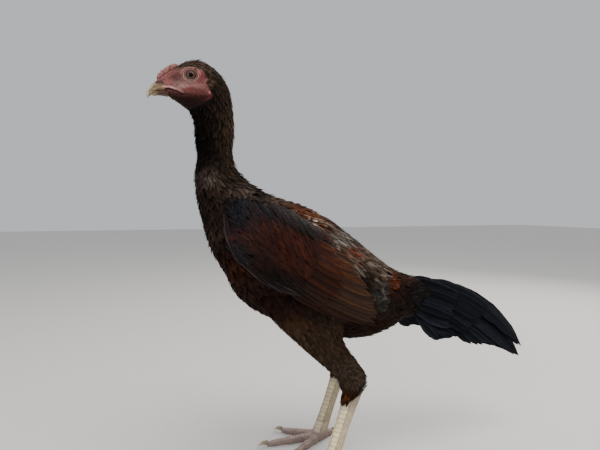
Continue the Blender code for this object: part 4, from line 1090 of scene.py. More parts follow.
share = np.linspace(0, 1, LID_ROWS)
share = np.concatenate([share, share[::-1]])[None, :, None]
points, quads, colours, count = [], [], [], 0
for side in (-1, 1):
    ring = lid_ring(side)
    rows, sides = ring.shape[:2]
    # Painted shade under the brow: the lids darker towards their top
    upper = np.clip((ring[..., 2] - EYE[1]) / 0.0045 * 0.5 + 0.35, 0, 1)[..., None]
    tone = faded(linear("#96756c"), "#6b4640", upper)
    # Painted shade in the groove between the rims and next to the eyeball, and a painted highlight on the outer fold
    for code, part in (
        ("#4a2a28", bump(share - 0.45, 0.12) * 0.95),
        ("#b09388", bump(share - 0.68, 0.11) * (0.9 - 0.4 * upper)),
        ("#6d4641", smooth_step(share, 0.80, 0.95)),
        ("#3a2321", bump(share - 0.03, 0.10) * 0.7),
    ):
        tone = faded(tone, code, part)
    flat = ring.reshape(-1, 3)
    # the last row joins the first again
    faces = outward(flat, grid_faces(rows + 1, sides) % (rows * sides), NO_TRIANGLES)[0]
    points.append(flat)
    quads.append(faces + count)
    colours.append(tone.reshape(-1, 3))
    count += len(flat)
points = np.concatenate(points)
lids = put_mesh("eyelids", points, np.concatenate(quads), NO_TRIANGLES, hide)
add_colours(lids, "tint", np.concatenate(colours))
add_map(lids, points[:, (0, 2)] * MAP_SCALE + (2.3, -3.4))
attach(lids, "root")

# The pea comb: three low rows of fleshy knobs, fused at their feet and pebbled all over, with a
# painted pale pink highlight on the knobs and painted shade in the pits. A comb is thick skin full
# of blood vessels.
COMB_FRONT = np.array((-0.2600, 0.4805))
COMB_BACK = np.array((-0.2362, 0.4984))
COMB_HEIGHT = 0.0050
COMB_HALF_WIDTH = 0.0066
COMB_WRAP = 0.0011


def knobbly(points):
    """Round knobs about 2 mm wide, mostly from -1 to 1: half the sum of four wandering patterns."""
    patterns = ((0.0046, 41), (0.0034, 44), (0.0025, 45), (0.0018, 46))
    return sum(lumps(points, size, seed) for size, seed in patterns) / 2


def comb_rings():
    """A low ridge in three rows: height * ends * (0.70 + 0.30 cos(3 rows)) with knobs along each row."""
    share = np.linspace(0, 1, 120)[:, None]
    turn = around(90)
    ends = np.sqrt(np.clip(1 - (2 * share - 1) ** 4, 0.004, 1))
    across = np.sin(turn)
    over = np.clip(np.cos(turn), 0, 1) ** 0.7
    under = -0.9 * np.clip(-np.cos(turn), 0, 1)
    row = across * 1.5
    ridge = 0.70 + 0.30 * np.cos(row * 2 * math.pi) * (1 - 0.35 * np.abs(across))
    knob = 0.93 + 0.07 * np.cos(share * 6 * 2 * math.pi + np.round(row) * 1.7)
    high = COMB_HEIGHT * ends * (over * ridge * knob + under * 0.8) * (0.80 + 0.20 * share)
    high = high - COMB_WRAP * across**2 * ends - 0.0006 + 0.0014 * np.sin(share * math.pi)
    spread = COMB_HALF_WIDTH * ends * (0.70 + 0.42 * share)
    slope = (COMB_BACK - COMB_FRONT) / np.linalg.norm(COMB_BACK - COMB_FRONT)
    middle = COMB_FRONT + (COMB_BACK - COMB_FRONT) * share[..., None]
    x = middle[..., 0] - slope[1] * high
    z = middle[..., 1] + slope[0] * high
    points = np.stack([x, spread * across, z], axis=-1)
    pebble = knobbly(points) * 0.00075
    out = np.stack([-slope[1] * np.cos(turn), across, slope[0] * np.cos(turn)], axis=-1)
    return points + out * (pebble * np.clip(over * 2, 0, 1) * ends)[..., None]


points, quads, fans = closed_loft(comb_rings())
comb = put_mesh("pea_comb", points, quads, fans, hide)
knobs = knobbly(points)[:, None]
# A painted highlight on the knobs' tops and painted shade in the pits between them
colours = faded(linear("#6f3b39"), "#b0867f", np.clip(0.5 + 0.6 * knobs, 0, 1))
colours = faded(colours, "#6b2a2a", np.clip(-knobs, 0, 1) * 0.8)
colours = faded(colours, "#6d4641", smooth_step(np.abs(points[:, 1:2]), 0.0040, 0.0075) * 0.7)
add_colours(comb, "tint", colours)
add_map(comb, points[:, :2] * MAP_SCALE + (2.6, 0.5))
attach(comb, "root")
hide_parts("comb")

# The bill: two sheaths of horn over bone, grown forward and worn at the edges. The upper one hooks
# over the lower. At its base a soft swelling covers each nostril.
BILL_UPPER = (
    (-0.2480, 0.4742), (-0.2560, 0.4725), (-0.2620, 0.4696), (-0.2668, 0.4655), (-0.2694, 0.4613), (-0.2700, 0.4575)
)
BILL_LOWER = ((-0.2470, 0.4640), (-0.2540, 0.4645), (-0.2600, 0.4637), (-0.2650, 0.4612))
NOSTRIL = ((-0.2602, 0.4737), (-0.2570, 0.4746), (-0.2530, 0.4748))
# Worn layers of horn show as dark lines beside the edge, at these drops, and as a pale stripe
HORN_EDGE = ((-0.2530, 0.4702), (-0.2620, 0.4678), (-0.2685, 0.4612))
LAYER_DROPS = (-0.0012, 0.0004, 0.0018, 0.0032)
PALE_LAYER = ((-0.2545, 0.4700), (-0.2625, 0.4672), (-0.2672, 0.4625))


def bill_rings(path, deep, wide, keel):
    """Rings round a path: half depth times cos t, half width times sin t, drawn in below by the keel share."""
    steps = np.linspace(0, len(path) - 1, 64)
    line = along(path, steps)
    slope = np.gradient(line, axis=0)
    slope /= np.linalg.norm(slope, axis=1, keepdims=True)
    up = np.stack([slope[:, 1], -slope[:, 0]], axis=1)
    g = np.linspace(0, 1, 64)[:, None]
    turn = around(48)
    lift = deep(g) * np.cos(turn)
    ridge = 1 - keel * np.clip(np.cos(turn), 0, 1) ** 3
    x = line[:, 0:1] + up[:, 0:1] * lift
    z = line[:, 1:2] + up[:, 1:2] * lift
    y = wide(g) * np.sin(turn) * ridge
    points = np.stack([x, y, z], axis=-1)
    grow = 0.00010 * np.sin(g * 70 + 2 * lumps(points, 0.006, 51)) + 0.00010 * lumps(points, 0.0016, 52)
    out = np.stack([up[:, 0:1] * np.cos(turn), np.sin(turn) + 0 * g, up[:, 1:2] * np.cos(turn)], axis=-1)
    return points + out * grow[..., None]


upper = bill_rings(
    BILL_UPPER, lambda g: 0.0070 * (1 - g**1.25) + 0.0006, lambda g: 0.0076 * (1 - g**2.2) + 0.0006, 0.30
)
lower = bill_rings(BILL_LOWER, lambda g: 0.0032 * (1 - 0.55 * g**2), lambda g: 0.0062 * (1 - g**2.4) + 0.0008, 0.10)
# Bill horn: satin and slightly see-through, streaked along by its layers. The real streaks are
# hair-fine, and are drawn a millimetre wide so that they show.
horn, shader = new_material("bill_horn")
place = node(horn, "ShaderNodeTexCoord").outputs["Object"]
GRAIN_LENGTH, GRAIN_WIDTH = 0.0063, 0.0012
grain = node(
    horn, "ShaderNodeMapping",
    (("Scale", (1 / GRAIN_LENGTH, 1 / GRAIN_WIDTH, 1 / GRAIN_WIDTH)), ("Rotation", (0.0, math.radians(-28.0), 0.0))),
    (("Vector", place),),
)
streak = node(
    horn, "ShaderNodeTexNoise", (("Scale", 1.0), ("Detail", 4.0), ("Roughness", 0.6)),
    (("Vector", grain.outputs["Vector"]),),
)
shade = node(
    horn, "ShaderNodeMapRange", (("From Min", 0.3), ("From Max", 0.7), ("To Min", 0.68), ("To Max", 1.28)),
    (("Value", streak.outputs["Fac"]),),
)
horn.node_tree.links.new(tinted(horn, shade.outputs["Result"]), shader.inputs["Base Color"])
node(
    horn, "ShaderNodeBump", (("Strength", 0.20), ("Distance", 0.00012)),
    (("Height", streak.outputs["Fac"]), (shader.inputs["Normal"], "Normal")),
)
shader.inputs["Roughness"].default_value = 0.42
shader.inputs["Specular IOR Level"].default_value = 0.22
shader.inputs["Subsurface Weight"].default_value = 0.06
shader.inputs["Subsurface Radius"].default_value = (0.0010, 0.0007, 0.0004)
for rings, half, code in ((upper, "upper", "#93805e"), (lower, "lower", "#8f7d60")):
    points, quads, fans = closed_loft(rings)
    made = put_mesh(f"bill_{half}_sheath", points, quads, fans, horn)
    x, y, z = (points[:, k : k + 1] for k in range(3))

    def near_line(path, wide):
        """A bell across the distance from a line on the side of the bill."""
        return bump(line_distance(points[:, 0], points[:, 2], path)[0], wide)[:, None]

    layers = [
        ("#4a3c26", 0.85 * near_line([(px, pz + drop) for px, pz in HORN_EDGE], 0.00050)) for drop in LAYER_DROPS
    ]
    tone = np.broadcast_to(linear(code), points.shape)
    for colour, share in (
        ("#c4b190", smooth_step(-x, 0.2620, 0.2690) * 0.8),
        ("#4a3a2a", bump(y, 0.0016) * smooth_step(z, 0.468, 0.476) * 0.75),
        *layers,
        ("#bda98a", 0.5 * near_line(PALE_LAYER, 0.0009)),
        ("#5c3c3b", smooth_step(z, 0.4716, 0.4732) * smooth_step(x, -0.2625, -0.2600) * 0.95),
        ("#3c1b17", smooth_step(x, -0.2640, -0.2570) * (z < 0.4668) * 0.9),
        ("#1a100d", near_line(NOSTRIL, 0.0008) * (np.abs(y) > 0.002)),
    ):
        tone = faded(tone, colour, share)
    add_colours(made, "tint", np.clip(tone, 0.001, 1))
    add_map(made, points[:, (0, 2)] * MAP_SCALE + (2.9, -3.4))
    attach(made, "root")
    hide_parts(f"bill_{half}")

# The operculum: a soft purplish swelling of skin over each nostril, smooth and stretched. It
# grows over the root of the upper bill and keeps dust out.
OPERCULUM = ((-0.2616, 0.4746), (-0.2565, 0.4768), (-0.2516, 0.4782), (-0.2465, 0.4792))
line = along(OPERCULUM, np.linspace(0, 3, 40))
swell = np.sqrt(np.clip(np.sin(np.linspace(0.06, math.pi - 0.3, 40)), 0, 1))[:, None]
turn = around(32)
shapes = []
for side in (-1, 1):
    out = np.interp(line[:, 0], (-0.2628, -0.2560, -0.2480), (0.0040, 0.0056, 0.0066))[:, None]
    x = line[:, 0:1] - 0.5 * 0.0019 * swell * np.cos(turn)
    y = side * (out + 0.0020 * swell * np.sin(turn))
    z = line[:, 1:2] + 0.0021 * swell * np.cos(turn)
    rings = np.stack([x, y, z], axis=-1)
    shapes.append(rings + (0.00012 * lumps(rings, 0.0018, 61))[..., None] * (0.3, side, 0.5))
points, quads, fans = merged(shapes)
operculum = put_mesh("nostril_covers", points, quads, fans, hide)
tone = linear("#6f4846") * (1 + 0.15 * lumps(points, 0.003, 62))[:, None]
add_colours(operculum, "tint", np.clip(tone, 0.001, 1))
add_map(operculum, points[:, (0, 2)] * MAP_SCALE + (3.2, -3.4))
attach(operculum, "root")

# Ear tufts and bristles: stiff hair-like feathers, bare but for a few barbs. They cover the ear
# opening in a brown tuft and stand thinly over the bare throat and in front of the eye.
rng = np.random.default_rng(71)
TUFT_COUNT = 220
BRISTLE_COUNT = 420
BRISTLE_STEPS = 5
shafts, outs, halves, tints, maps = [], [], [], [], []
for side in (-1, 1):
    x = EAR[0] + rng.normal(0, 0.0018, TUFT_COUNT) - 0.0004
    z = EAR[1] + rng.normal(0, 0.0030, TUFT_COUNT) + 0.0006
    throat_x = rng.uniform(-0.247, -0.206, BRISTLE_COUNT)
    throat_z = rng.uniform(0.446, 0.464, BRISTLE_COUNT)
    lores = rng.random(BRISTLE_COUNT) < 0.16
    throat_x = np.where(lores, rng.uniform(-0.243, -0.230, BRISTLE_COUNT), throat_x)
    throat_z = np.where(lores, rng.uniform(0.4710, 0.4860, BRISTLE_COUNT), throat_z)
    x, z = np.concatenate([x, throat_x]), np.concatenate([z, throat_z])
    near = np.hypot(x[:, None] - skin_points[None, ::3, 0], z[:, None] - skin_points[None, ::3, 2]).min(axis=1)
    bare_here = inside(x, z, FACE_LINE) & (near < 0.0006)
    eye_away = np.hypot((x - EYE[0]) / LID_OPENING[0], (z - EYE[1]) / LID_OPENING[1]) > 1.7
    tuft = np.arange(len(x)) < TUFT_COUNT
    kept = bare_here & eye_away | tuft
    x, z, tuft = x[kept], z[kept], tuft[kept]
    length = np.where(tuft, rng.uniform(0.0035, 0.0060, len(x)), rng.uniform(0.0012, 0.0026, len(x)))
    slope = np.where(tuft, rng.normal(-0.55, 0.25, len(x)), rng.normal(-0.50, 0.35, len(x)))
    share = np.linspace(0, 1, BRISTLE_STEPS)[None, :]
    px = x[:, None] + length[:, None] * np.cos(slope)[:, None] * share
    pz = z[:, None] + length[:, None] * np.sin(slope)[:, None] * share
    raised = tuft[:, None] * (0.0007 + 0.0013 * np.sin(share * math.pi))
    py = skin_side(px, pz, side) - 0.0004 + 0.0008 * np.sqrt(share) + raised
    shafts.append(np.stack([px, side * py, pz], axis=-1))
    outs.append(np.broadcast_to(np.array([0.0, side, 0.0]), shafts[-1].shape))
    halves.append(np.where(tuft, 0.00022, 0.00011)[:, None] * np.linspace(1, 0.25, BRISTLE_STEPS)[None, :])
    light = (rng.random(len(x)) < 0.32) & tuft
    tone = np.where(light[:, None], linear("#735e4c"), linear("#2d1e17")) * (1 + rng.normal(0, 0.2, (len(x), 1)))
    tone = np.clip(tone, 0.001, 1)[:, None, None, :]
    tints.append(np.broadcast_to(tone, (len(x), BRISTLE_STEPS, VANE_COLUMNS, 3)))
    maps.append(np.stack([x * MAP_SCALE + 2.3 + (side > 0), z * MAP_SCALE - 3.4], axis=1))
shaft, out = np.concatenate(shafts), np.concatenate(outs)
ahead = np.gradient(shaft, axis=1)
ahead /= np.linalg.norm(ahead, axis=-1, keepdims=True)
bristles = vanes(
    "ear_tufts_and_bristles", shaft, np.cross(ahead, out), out, np.concatenate(halves), 0.0, 0.00012,
    np.concatenate(tints), np.concatenate(maps), contour_keratin,
)

# The wings, folded against the body: some twenty flight feathers stacked like a closed fan, with
# greater, median and lesser coverts in tiers over their roots, down to scale-like ones at the
# wrist. All are rooted in the arm, a flat lens of muscle and bone under a thin hide.
WING_U = (-0.020, 0.038, 0.110, 0.210)
WING_HALF_HEIGHT = 0.040
# Half width of the bird over the wing at each of WING_U: at its lower edge, middle and upper edge
WING_FACE = ((0.030, 0.041, 0.036), (0.050, 0.063, 0.052), (0.055, 0.064, 0.056), (0.044, 0.051, 0.046))
WING_BASE_U = (0.058, 0.078)
WING_BASE_DEPTH = (0.016, 0.006)
ROOT_SINK = 0.0035
RAGGED = 0.14
QUILL_COLUMNS = 7
QUILL_THICKNESS = 0.0005
WING_STEPS = 9
# The folded wing's outline: its lower and its upper edge across, at distances along it
WING_LOW = (
    (-0.031, -0.011, 0.006, 0.024, 0.052, 0.082, 0.112, 0.172, 0.202),
    (0.012, -0.018, -0.034, -0.040, -0.040, -0.036, -0.029, -0.023, -0.008),
)
WING_HIGH = (
    (-0.031, -0.017, 0.009, 0.023, 0.065, 0.096, 0.129, 0.150, 0.183, 0.202),
    (0.016, 0.029, 0.037, 0.036, 0.041, 0.041, 0.028, 0.026, 0.007, -0.006),
)


def wing_xz(u, v):
    """X and Z of places u along the folded wing and v across it: both turned by the wing's slope."""
    c, s = math.cos(WING_SLOPE), math.sin(WING_SLOPE)
    return np.stack([WING_SHOULDER[0] + u * c - v * s, WING_SHOULDER[1] + u * s + v * c], axis=-1)


def wing_face(x, z):
    """How far out the wing's face lies: a parabola across the wing, whose numbers run smoothly along it."""
    u, v = wing_uv(x, z)
    edges = along(WING_FACE, np.interp(u, WING_U, range(len(WING_U))))
    low, middle, high = edges[..., 0], edges[..., 1], edges[..., 2]
    w = np.clip(v / WING_HALF_HEIGHT, -1.4, 1.4)
    return middle + (high - low) / 2 * w + ((high + low) / 2 - middle) * w**2


def quills(sheet, side, roots, tips, bow, half_width, lift, lean, steps, point, rng):
    """Shafts, ways across, ways out and half widths of long feathers that lie on a sheet.

    Seen from the side a shaft runs from root to tip along a parabola that swells by bow. The
    sheet gives its distance from the middle of the bird, to which lift adds; the root sinks in
    by the fourth power of the share still to go. lean tips each vane so that it laps the next.
    """
    share = np.linspace(0, 1, steps)[None, :, None]
    ahead = (tips - roots)[:, None]
    length = np.linalg.norm(ahead, axis=-1, keepdims=True)
    left = np.stack([-ahead[..., 1], ahead[..., 0]], axis=-1) / length
    line = roots[:, None] + ahead * share + left * bow[:, None, None] * 4 * share * (1 - share)
    slope = np.gradient(line, axis=1)
    slope /= np.linalg.norm(slope, axis=-1, keepdims=True)
    up = np.stack([-slope[..., 1], slope[..., 0]], axis=-1)
    sunk = (1 - share[..., 0]) ** 4
    out = sheet(line[..., 0], line[..., 1]) + lift[:, None] - (lift[:, None] + ROOT_SINK) * sunk
    half = half_width[:, None]
    high, low = line + up * half[..., None], line - up * half[..., None]
    rise = (sheet(high[..., 0], high[..., 1]) - sheet(low[..., 0], low[..., 1])) / (2 * half)
    spine = np.stack([line[..., 0], side * out, line[..., 1]], axis=-1)
    across = np.stack([side * up[..., 0], rise - lean, side * up[..., 1]], axis=-1)
    away = np.cross(across, np.gradient(spine, axis=1))
    away /= np.linalg.norm(away, axis=-1, keepdims=True)
    shape = vane_shape(steps, point) * (1 - RAGGED * rng.random((len(roots), steps)))
    return spine, across, away, half * shape


def quill_tints(base, rim, tip, rng, rim_share, tip_share, spread, streaky, steps):
    """Tints of long feathers: lengthwise streaks, a dark shaft, a paler rim and a tip of its own.

    spread is how far feathers differ, streaky how far the streaks of one feather do.
    """
    count = len(base)
    base = base[:, None, None, :] * (1 + rng.normal(0, spread, (count, 1, 1, 1)))
    j = np.linspace(-1, 1, QUILL_COLUMNS)[None, None, :, None]
    share = np.linspace(0, 1, steps)[None, :, None, None]
    tint = base * (0.70 + 0.45 * share) * (1 + rng.normal(0, streaky, (count, 1, QUILL_COLUMNS, 1)))
    greyed = rng.random((count, 1, QUILL_COLUMNS, 1)) < 0.22
    tint = faded(tint, "#231c1d", greyed * streaky * 1.8)
    tint = tint * (1 + rng.normal(0, 0.08, (count, steps, QUILL_COLUMNS, 1)))
    tint = tint + (tip - tint) * tip_share * share**3
    edge = np.clip((np.abs(j) - 0.55) / 0.45, 0, 1) * (0.3 + 0.7 * rng.random((count, 1, 1, 1)))
    tint = tint + (rim - tint) * rim_share * edge
    tint = tint * np.where(np.abs(j) < 0.1, 0.55, 1.0)
    return np.clip(np.broadcast_to(tint, (count, steps, QUILL_COLUMNS, 3)), 0.0005, 1)


def between(line, count):
    """A number of places spread evenly over the stations of a line, ends included."""
    return along(line, np.linspace(0, len(line) - 1, count))


def quill_mesh(name, groups, camber, material):
    """One mesh from groups of long feathers, each group what quills() gives, the tints and the roots' places."""
    spine, across, out, half, tints, roots = (np.concatenate(parts) for parts in zip(*groups))
    return vanes(name, spine, across, out, half, camber, QUILL_THICKNESS, tints, roots, material, (0.003, 0.02))


# The wing's markings: distance along it and across it, reach along and across, colour, strength
WING_GROUND = "#2f1209"
WING_MARKS = (
    (0.165, 0.004, 0.045, 0.022, "#321e0f", 0.9),  # flight feathers, olive-brown
    (0.122, 0.026, 0.022, 0.011, "#48240f", 0.9),  # orange-brown by the upper rear edge
    (0.160, -0.012, 0.034, 0.012, "#1f0f06", 0.8),
    (0.118, -0.018, 0.020, 0.010, "#180904", 0.8),
    (0.075, -0.030, 0.060, 0.016, "#080504", 0.95),  # lower edge, black-brown
    (0.034, -0.012, 0.012, 0.020, "#1c0b07", 0.6),
    (0.058, 0.040, 0.036, 0.0095, "#161413", 0.97),  # upper edge, grey-black
    (0.014, -0.030, 0.018, 0.014, "#121113", 0.95),  # front edge
    (0.015, 0.033, 0.026, 0.013, "#0b0c11", 1.0),
    (-0.012, 0.010, 0.024, 0.026, "#0a0b10", 1.0),  # shoulder, blue-black
    (0.106, 0.039, 0.014, 0.005, "#5e2c14", 0.85),  # rust on the upper rear edge
)


def wing_tone(places):
    """The wing's colour at places along and across it: its ground, with the markings over it.

    Each marking covers it by its strength times exp(-(distance in reaches)^3).
    """
    u, v = places[:, 0], places[:, 1]
    wander = lumps(np.stack([u, v, 0 * u], axis=-1), 0.020, 7) * 0.004
    tone = np.broadcast_to(linear(WING_GROUND), (len(u), 3))
    for mark_u, mark_v, reach_u, reach_v, code, strength in WING_MARKS:
        away = ((u + wander - mark_u) / reach_u) ** 2 + ((v + wander - mark_v) / reach_v) ** 2
        tone = faded(tone, code, (strength * np.exp(-(away**1.5)))[:, None])
    return tone


# Tiers of the wing, from the flight feathers up. Each: roots and tips from the lower end of the
# tier to its upper end along the wing and across it; how many, half widths at both ends, bow,
# lift, tip shape; the colours of rim and tip, and the share of the rim
TIERS = (
    (
        ((0.082, -0.030), (0.104, -0.020)),
        ((0.168, -0.029), (0.190, -0.022), (0.213, -0.011)),
        5, (0.0050, 0.0058), -0.003, -0.0012, 0.25, "#2c211a", "#150f0b", 0.5,
    ),
    (
        ((0.092, -0.022), (0.098, 0.004), (0.084, 0.028)),
        ((0.210, -0.008), (0.200, 0.006), (0.178, 0.019), (0.140, 0.033)),
        17, (0.0060, 0.0068), -0.002, 0.0000, 0.12, "#463b32", "#3c2e24", 0.35,
    ),
    (
        ((0.052, -0.030), (0.070, 0.002), (0.060, 0.033)),
        ((0.128, -0.033), (0.144, -0.010), (0.136, 0.013), (0.112, 0.036)),
        15, (0.0054, 0.0058), -0.001, 0.0014, 0.20, "#3d2f28", "#3a1a0c", 0.5,
    ),
    (
        ((0.024, -0.026), (0.040, 0.003), (0.036, 0.033)),
        ((0.082, -0.039), (0.097, -0.013), (0.094, 0.012), (0.078, 0.038)),
        17, (0.0048, 0.0052), 0.0, 0.0028, 0.25, "#33201b", "#3f160c", 0.4,
    ),
    # long dark feathers bound round the front and lower edge, with a pale rim
    (
        ((-0.022, 0.004), (-0.014, -0.012), (-0.002, -0.024), (0.016, -0.034)),
        ((0.018, -0.0355), (0.044, -0.0398), (0.074, -0.0400), (0.102, -0.0325)),
        12, (0.0028, 0.0033), -0.004, 0.0046, 0.15, "#585250", "#1d1a1a", 0.68,
    ),
    # shoulder feathers that hang over the wing's upper edge
    (
        ((0.014, 0.038), (0.036, 0.045), (0.070, 0.046)),
        ((0.040, 0.026), (0.072, 0.030), (0.108, 0.038)),
        22, (0.0020, 0.0026), 0.002, 0.0050, 0.55, "#3f3a36", "#1c1816", 0.40,
    ),
)
# Rows of lesser coverts: distance of the roots along the wing, length, half width
LESSER_ROWS = (
    (0.074, 0.025, 0.0032), (0.067, 0.025, 0.0032), (0.060, 0.024, 0.0031), (0.053, 0.024, 0.0031),
    (0.046, 0.023, 0.0030), (0.040, 0.023, 0.0030), (0.034, 0.022, 0.0029), (0.028, 0.021, 0.0029),
    (0.022, 0.020, 0.0028), (0.016, 0.020, 0.0028), (0.010, 0.019, 0.0027), (0.004, 0.018, 0.0027),
    (-0.002, 0.016, 0.0026), (-0.008, 0.015, 0.0025), (-0.014, 0.014, 0.0024), (-0.019, 0.012, 0.0023),
    (-0.025, 0.010, 0.0022),
)
LESSER_FALL = math.radians(-34.0)

# Flight feathers: satin where the barbs hook together. The tail's are blue-black, with the
# faint blue gloss of layered keratin.
flight_keratin = barbed("flight_feather_keratin", 16.0, 0.52, 0.07)
gloss_keratin = barbed("blue_black_feather_keratin", 16.0, 0.55, 0.02, "#020409")


def arm(side):
    """The arm under the feathers: a lens between the wing's face and the body, tapering to the rear."""
    share = np.sin(np.linspace(-1.5, 1.5, 24))[:, None]
    turn = around(32)
    u = WING_BASE_U[0] + WING_BASE_U[1] * share + 0 * turn
    v = (WING_HALF_HEIGHT - 0.002) * np.sqrt(1 - 0.97 * share**2) * np.cos(turn)
    depth = WING_BASE_DEPTH[0] + (WING_BASE_DEPTH[1] - WING_BASE_DEPTH[0]) * (share + 1) / 2
    place = wing_xz(u, v)
    inward = np.where(np.sin(turn) < 0, depth, 0.0008) * np.abs(np.sin(turn))
    y = side * (wing_face(place[..., 0], place[..., 1]) - 0.0014 - inward)
    return np.stack([place[..., 0], y, place[..., 1]], axis=-1)


def wing_map(u, v):
    """The unwrap of places along and across the wing."""
    return np.stack([(u + 0.05) / 0.30, (v + 0.06) / 0.12], axis=1)


for side, suffix in ((-1, "left"), (1, "right")):
    rng = np.random.default_rng(11)
    groups = []

    def keep(roots, tips, bow, half_width, lift, lean, point, colours):
        """Adds a group of this wing's feathers, given along and across the wing."""
        made = quills(
            wing_face, side, wing_xz(*roots.T), wing_xz(*tips.T), bow, half_width, lift, lean, WING_STEPS, point, rng
        )
        groups.append((*made, colours, wing_map(*roots.T)))

    for roots, tips, count, widths, bow, lift, point, rim_code, tip_code, rim_share in TIERS:
        roots, tips = between(roots, count), between(tips, count) + rng.uniform(-1, 1, (count, 2)) * 0.0018
        order = np.arange(count)
        base = wing_tone(roots + 0.62 * (tips - roots))
        colours = quill_tints(
            base, linear(rim_code), linear(tip_code), rng, rim_share, 0.4, 0.25, 0.32, WING_STEPS
        )
        bows = np.full(count, bow) + rng.normal(0, 0.0006, count)
        lifts = np.full(count, lift) + order % 2 * 0.0001
        keep(roots, tips, bows, np.interp(order, (0, count - 1), widths), lifts, 0.13, np.full(count, point), colours)
    for u, length, width in LESSER_ROWS:
        low, high = np.interp(u, *WING_LOW) + 0.0015, np.interp(u, *WING_HIGH) - 0.0015
        count = max(4, int((high - low) / (width * 1.15)))
        share = (np.arange(count) + 0.5 + rng.uniform(-0.3, 0.3, count)) / count
        roots = np.stack([u + rng.uniform(-0.0025, 0.0025, count), low + (high - low) * share], axis=1)
        fall = LESSER_FALL * np.clip((share - 0.1) * 1.6, 0, 1) + rng.normal(0, 0.10, count)
        tips = roots + length * np.stack([np.cos(fall), np.sin(fall)], axis=1) * (1 + rng.normal(0, 0.08, (count, 1)))
        low, high = np.interp(tips[:, 0], *WING_LOW) - 0.001, np.interp(tips[:, 0], *WING_HIGH) + 0.001
        tips[:, 1] = np.clip(tips[:, 1], low, high)
        base = wing_tone(roots + 0.6 * (tips - roots))
        # On the shoulder the rims get a grey added: a painted highlight on its glossy blue-black coverts
        rim = base[:, None, None, :] * 1.5 + linear("#2b2c30") * (u < 0.005)
        colours = quill_tints(base, rim, base[:, None, None, :] * 1.2, rng, 0.4, 0.3, 0.28, 0.40, WING_STEPS)
        lifts = 0.0035 + 0.0017 * (0.074 - u) / 0.099 + rng.uniform(0, 0.0004, count)
        keep(roots, tips, np.zeros(count), np.full(count, width), lifts, 0.16, np.full(count, 0.35), colours)
    wing = quill_mesh(f"wing_feathers_{suffix}", groups, 0.10, flight_keratin)
    points, quads, fans = closed_loft(arm(side))
    made = put_mesh(f"wing_arm_{suffix}", points, quads, fans, hide)
    add_map(made, wing_map(*wing_uv(points[:, 0], points[:, 2])))
    # The arm takes half the coat's colour: painted shade under the feathers
    add_colours(made, "tint", plumage(points) * 0.5)
    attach(made, "root")
    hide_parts(f"wing_{suffix}")

# The tail, a fan nearly shut, that hangs like a steep roof from its ridge: broad blue-black main
# feathers, curved sickles over them, and soft coverts above and below its fleshy root.
TAIL_RIDGE = ((0.0920, 0.2330), (0.2700, 0.1240))
TAIL_RIDGE_BOW = 0.0230
TAIL_RIDGE_HALF_WIDTH = 0.0018
TAIL_ROOF = math.tan(math.radians(22.0))
TAIL_LAYER = 0.0010
TAIL_STEPS = 14


def tail_sheet(x, z):
    """How far from the middle the tail's feathers lie.

    It is the ridge's half width plus the roof's slope times the depth below a bowed ridge.
    """
    start, end = np.array(TAIL_RIDGE)
    length = np.linalg.norm(end - start)
    ahead = (end - start) / length
    share = ((x - start[0]) * ahead[0] + (z - start[1]) * ahead[1]) / length
    above = (z - start[1]) * ahead[0] - (x - start[0]) * ahead[1]
    return TAIL_RIDGE_HALF_WIDTH + TAIL_ROOF * (TAIL_RIDGE_BOW * 4 * share * (1 - share) - above)


# Groups of tail feathers on each side. Each: roots and tips from the top down; how many, bows,
# half widths, layers outward (a layer is one feather's thickness and the air between), tip shape
TAIL_GROUPS = (
    (
        ((0.1000, 0.2150), (0.0960, 0.1930)),
        ((0.2620, 0.1080), (0.2120, 0.1285), (0.1630, 0.1375)),
        20, (0.016, 0.007), (0.0140, 0.0120), (-1, -13), 0.12,
    ),
    (
        ((0.0920, 0.2230), (0.0920, 0.2150)),
        ((0.2700, 0.1190), (0.2380, 0.1460)),
        4, (0.022, 0.015), (0.0120, 0.0120), (1, 4), 0.12,
    ),
    (
        ((0.0860, 0.2280), (0.0840, 0.1950)),
        ((0.2050, 0.1840), (0.1500, 0.1560)),
        9, (0.008, 0.002), (0.0085, 0.0085), (5, 3), 0.35,
    ),
    (
        ((0.0740, 0.2330), (0.0740, 0.1900)),
        ((0.1500, 0.2080), (0.1200, 0.1700)),
        9, (0.003, 0.000), (0.0070, 0.0070), (7, 5), 0.30,
    ),
    (
        ((0.0700, 0.1900), (0.0760, 0.1820)),
        ((0.1500, 0.1530), (0.1000, 0.1560)),
        7, (-0.003, -0.003), (0.0075, 0.0075), (-2, 3), 0.40,
    ),
)
rng = np.random.default_rng(29)
groups = []
for side in (-1, 1):
    for roots, tips, count, bows, widths, layers, point in TAIL_GROUPS:
        roots = between(roots, count)
        tips = between(tips, count) + rng.uniform(-1, 1, (count, 2)) * 0.0016
        bow, width, layer = (np.linspace(*ends, count) for ends in (bows, widths, layers))
        made = quills(
            tail_sheet, side, roots, tips, bow + rng.normal(0, 0.0012, count), width,
            layer * TAIL_LAYER + 0.0006, 0.03, TAIL_STEPS, np.full(count, point), rng,
        )
        # A third of the feathers painted twice as bright, and grey-blue rims: painted highlights on the glossy
        # blue-black tail
        base = np.broadcast_to(linear("#0d0e12"), (count, 3)) * np.where(rng.random((count, 1)) < 0.35, 2.0, 1.0)
        colours = quill_tints(
            base, linear("#2f333a"), linear("#05070a"), rng, 0.40, 0.3, 0.15, 0.15, TAIL_STEPS
        )
        places = [(roots[:, 0] - 0.05) / 0.25 + (side > 0) * 0.3, (roots[:, 1] - 0.10) / 0.14]
        groups.append((*made, colours, np.stack(places, axis=1)))
tail = quill_mesh("tail_feathers", groups, 0.12, gloss_keratin)
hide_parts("tail")

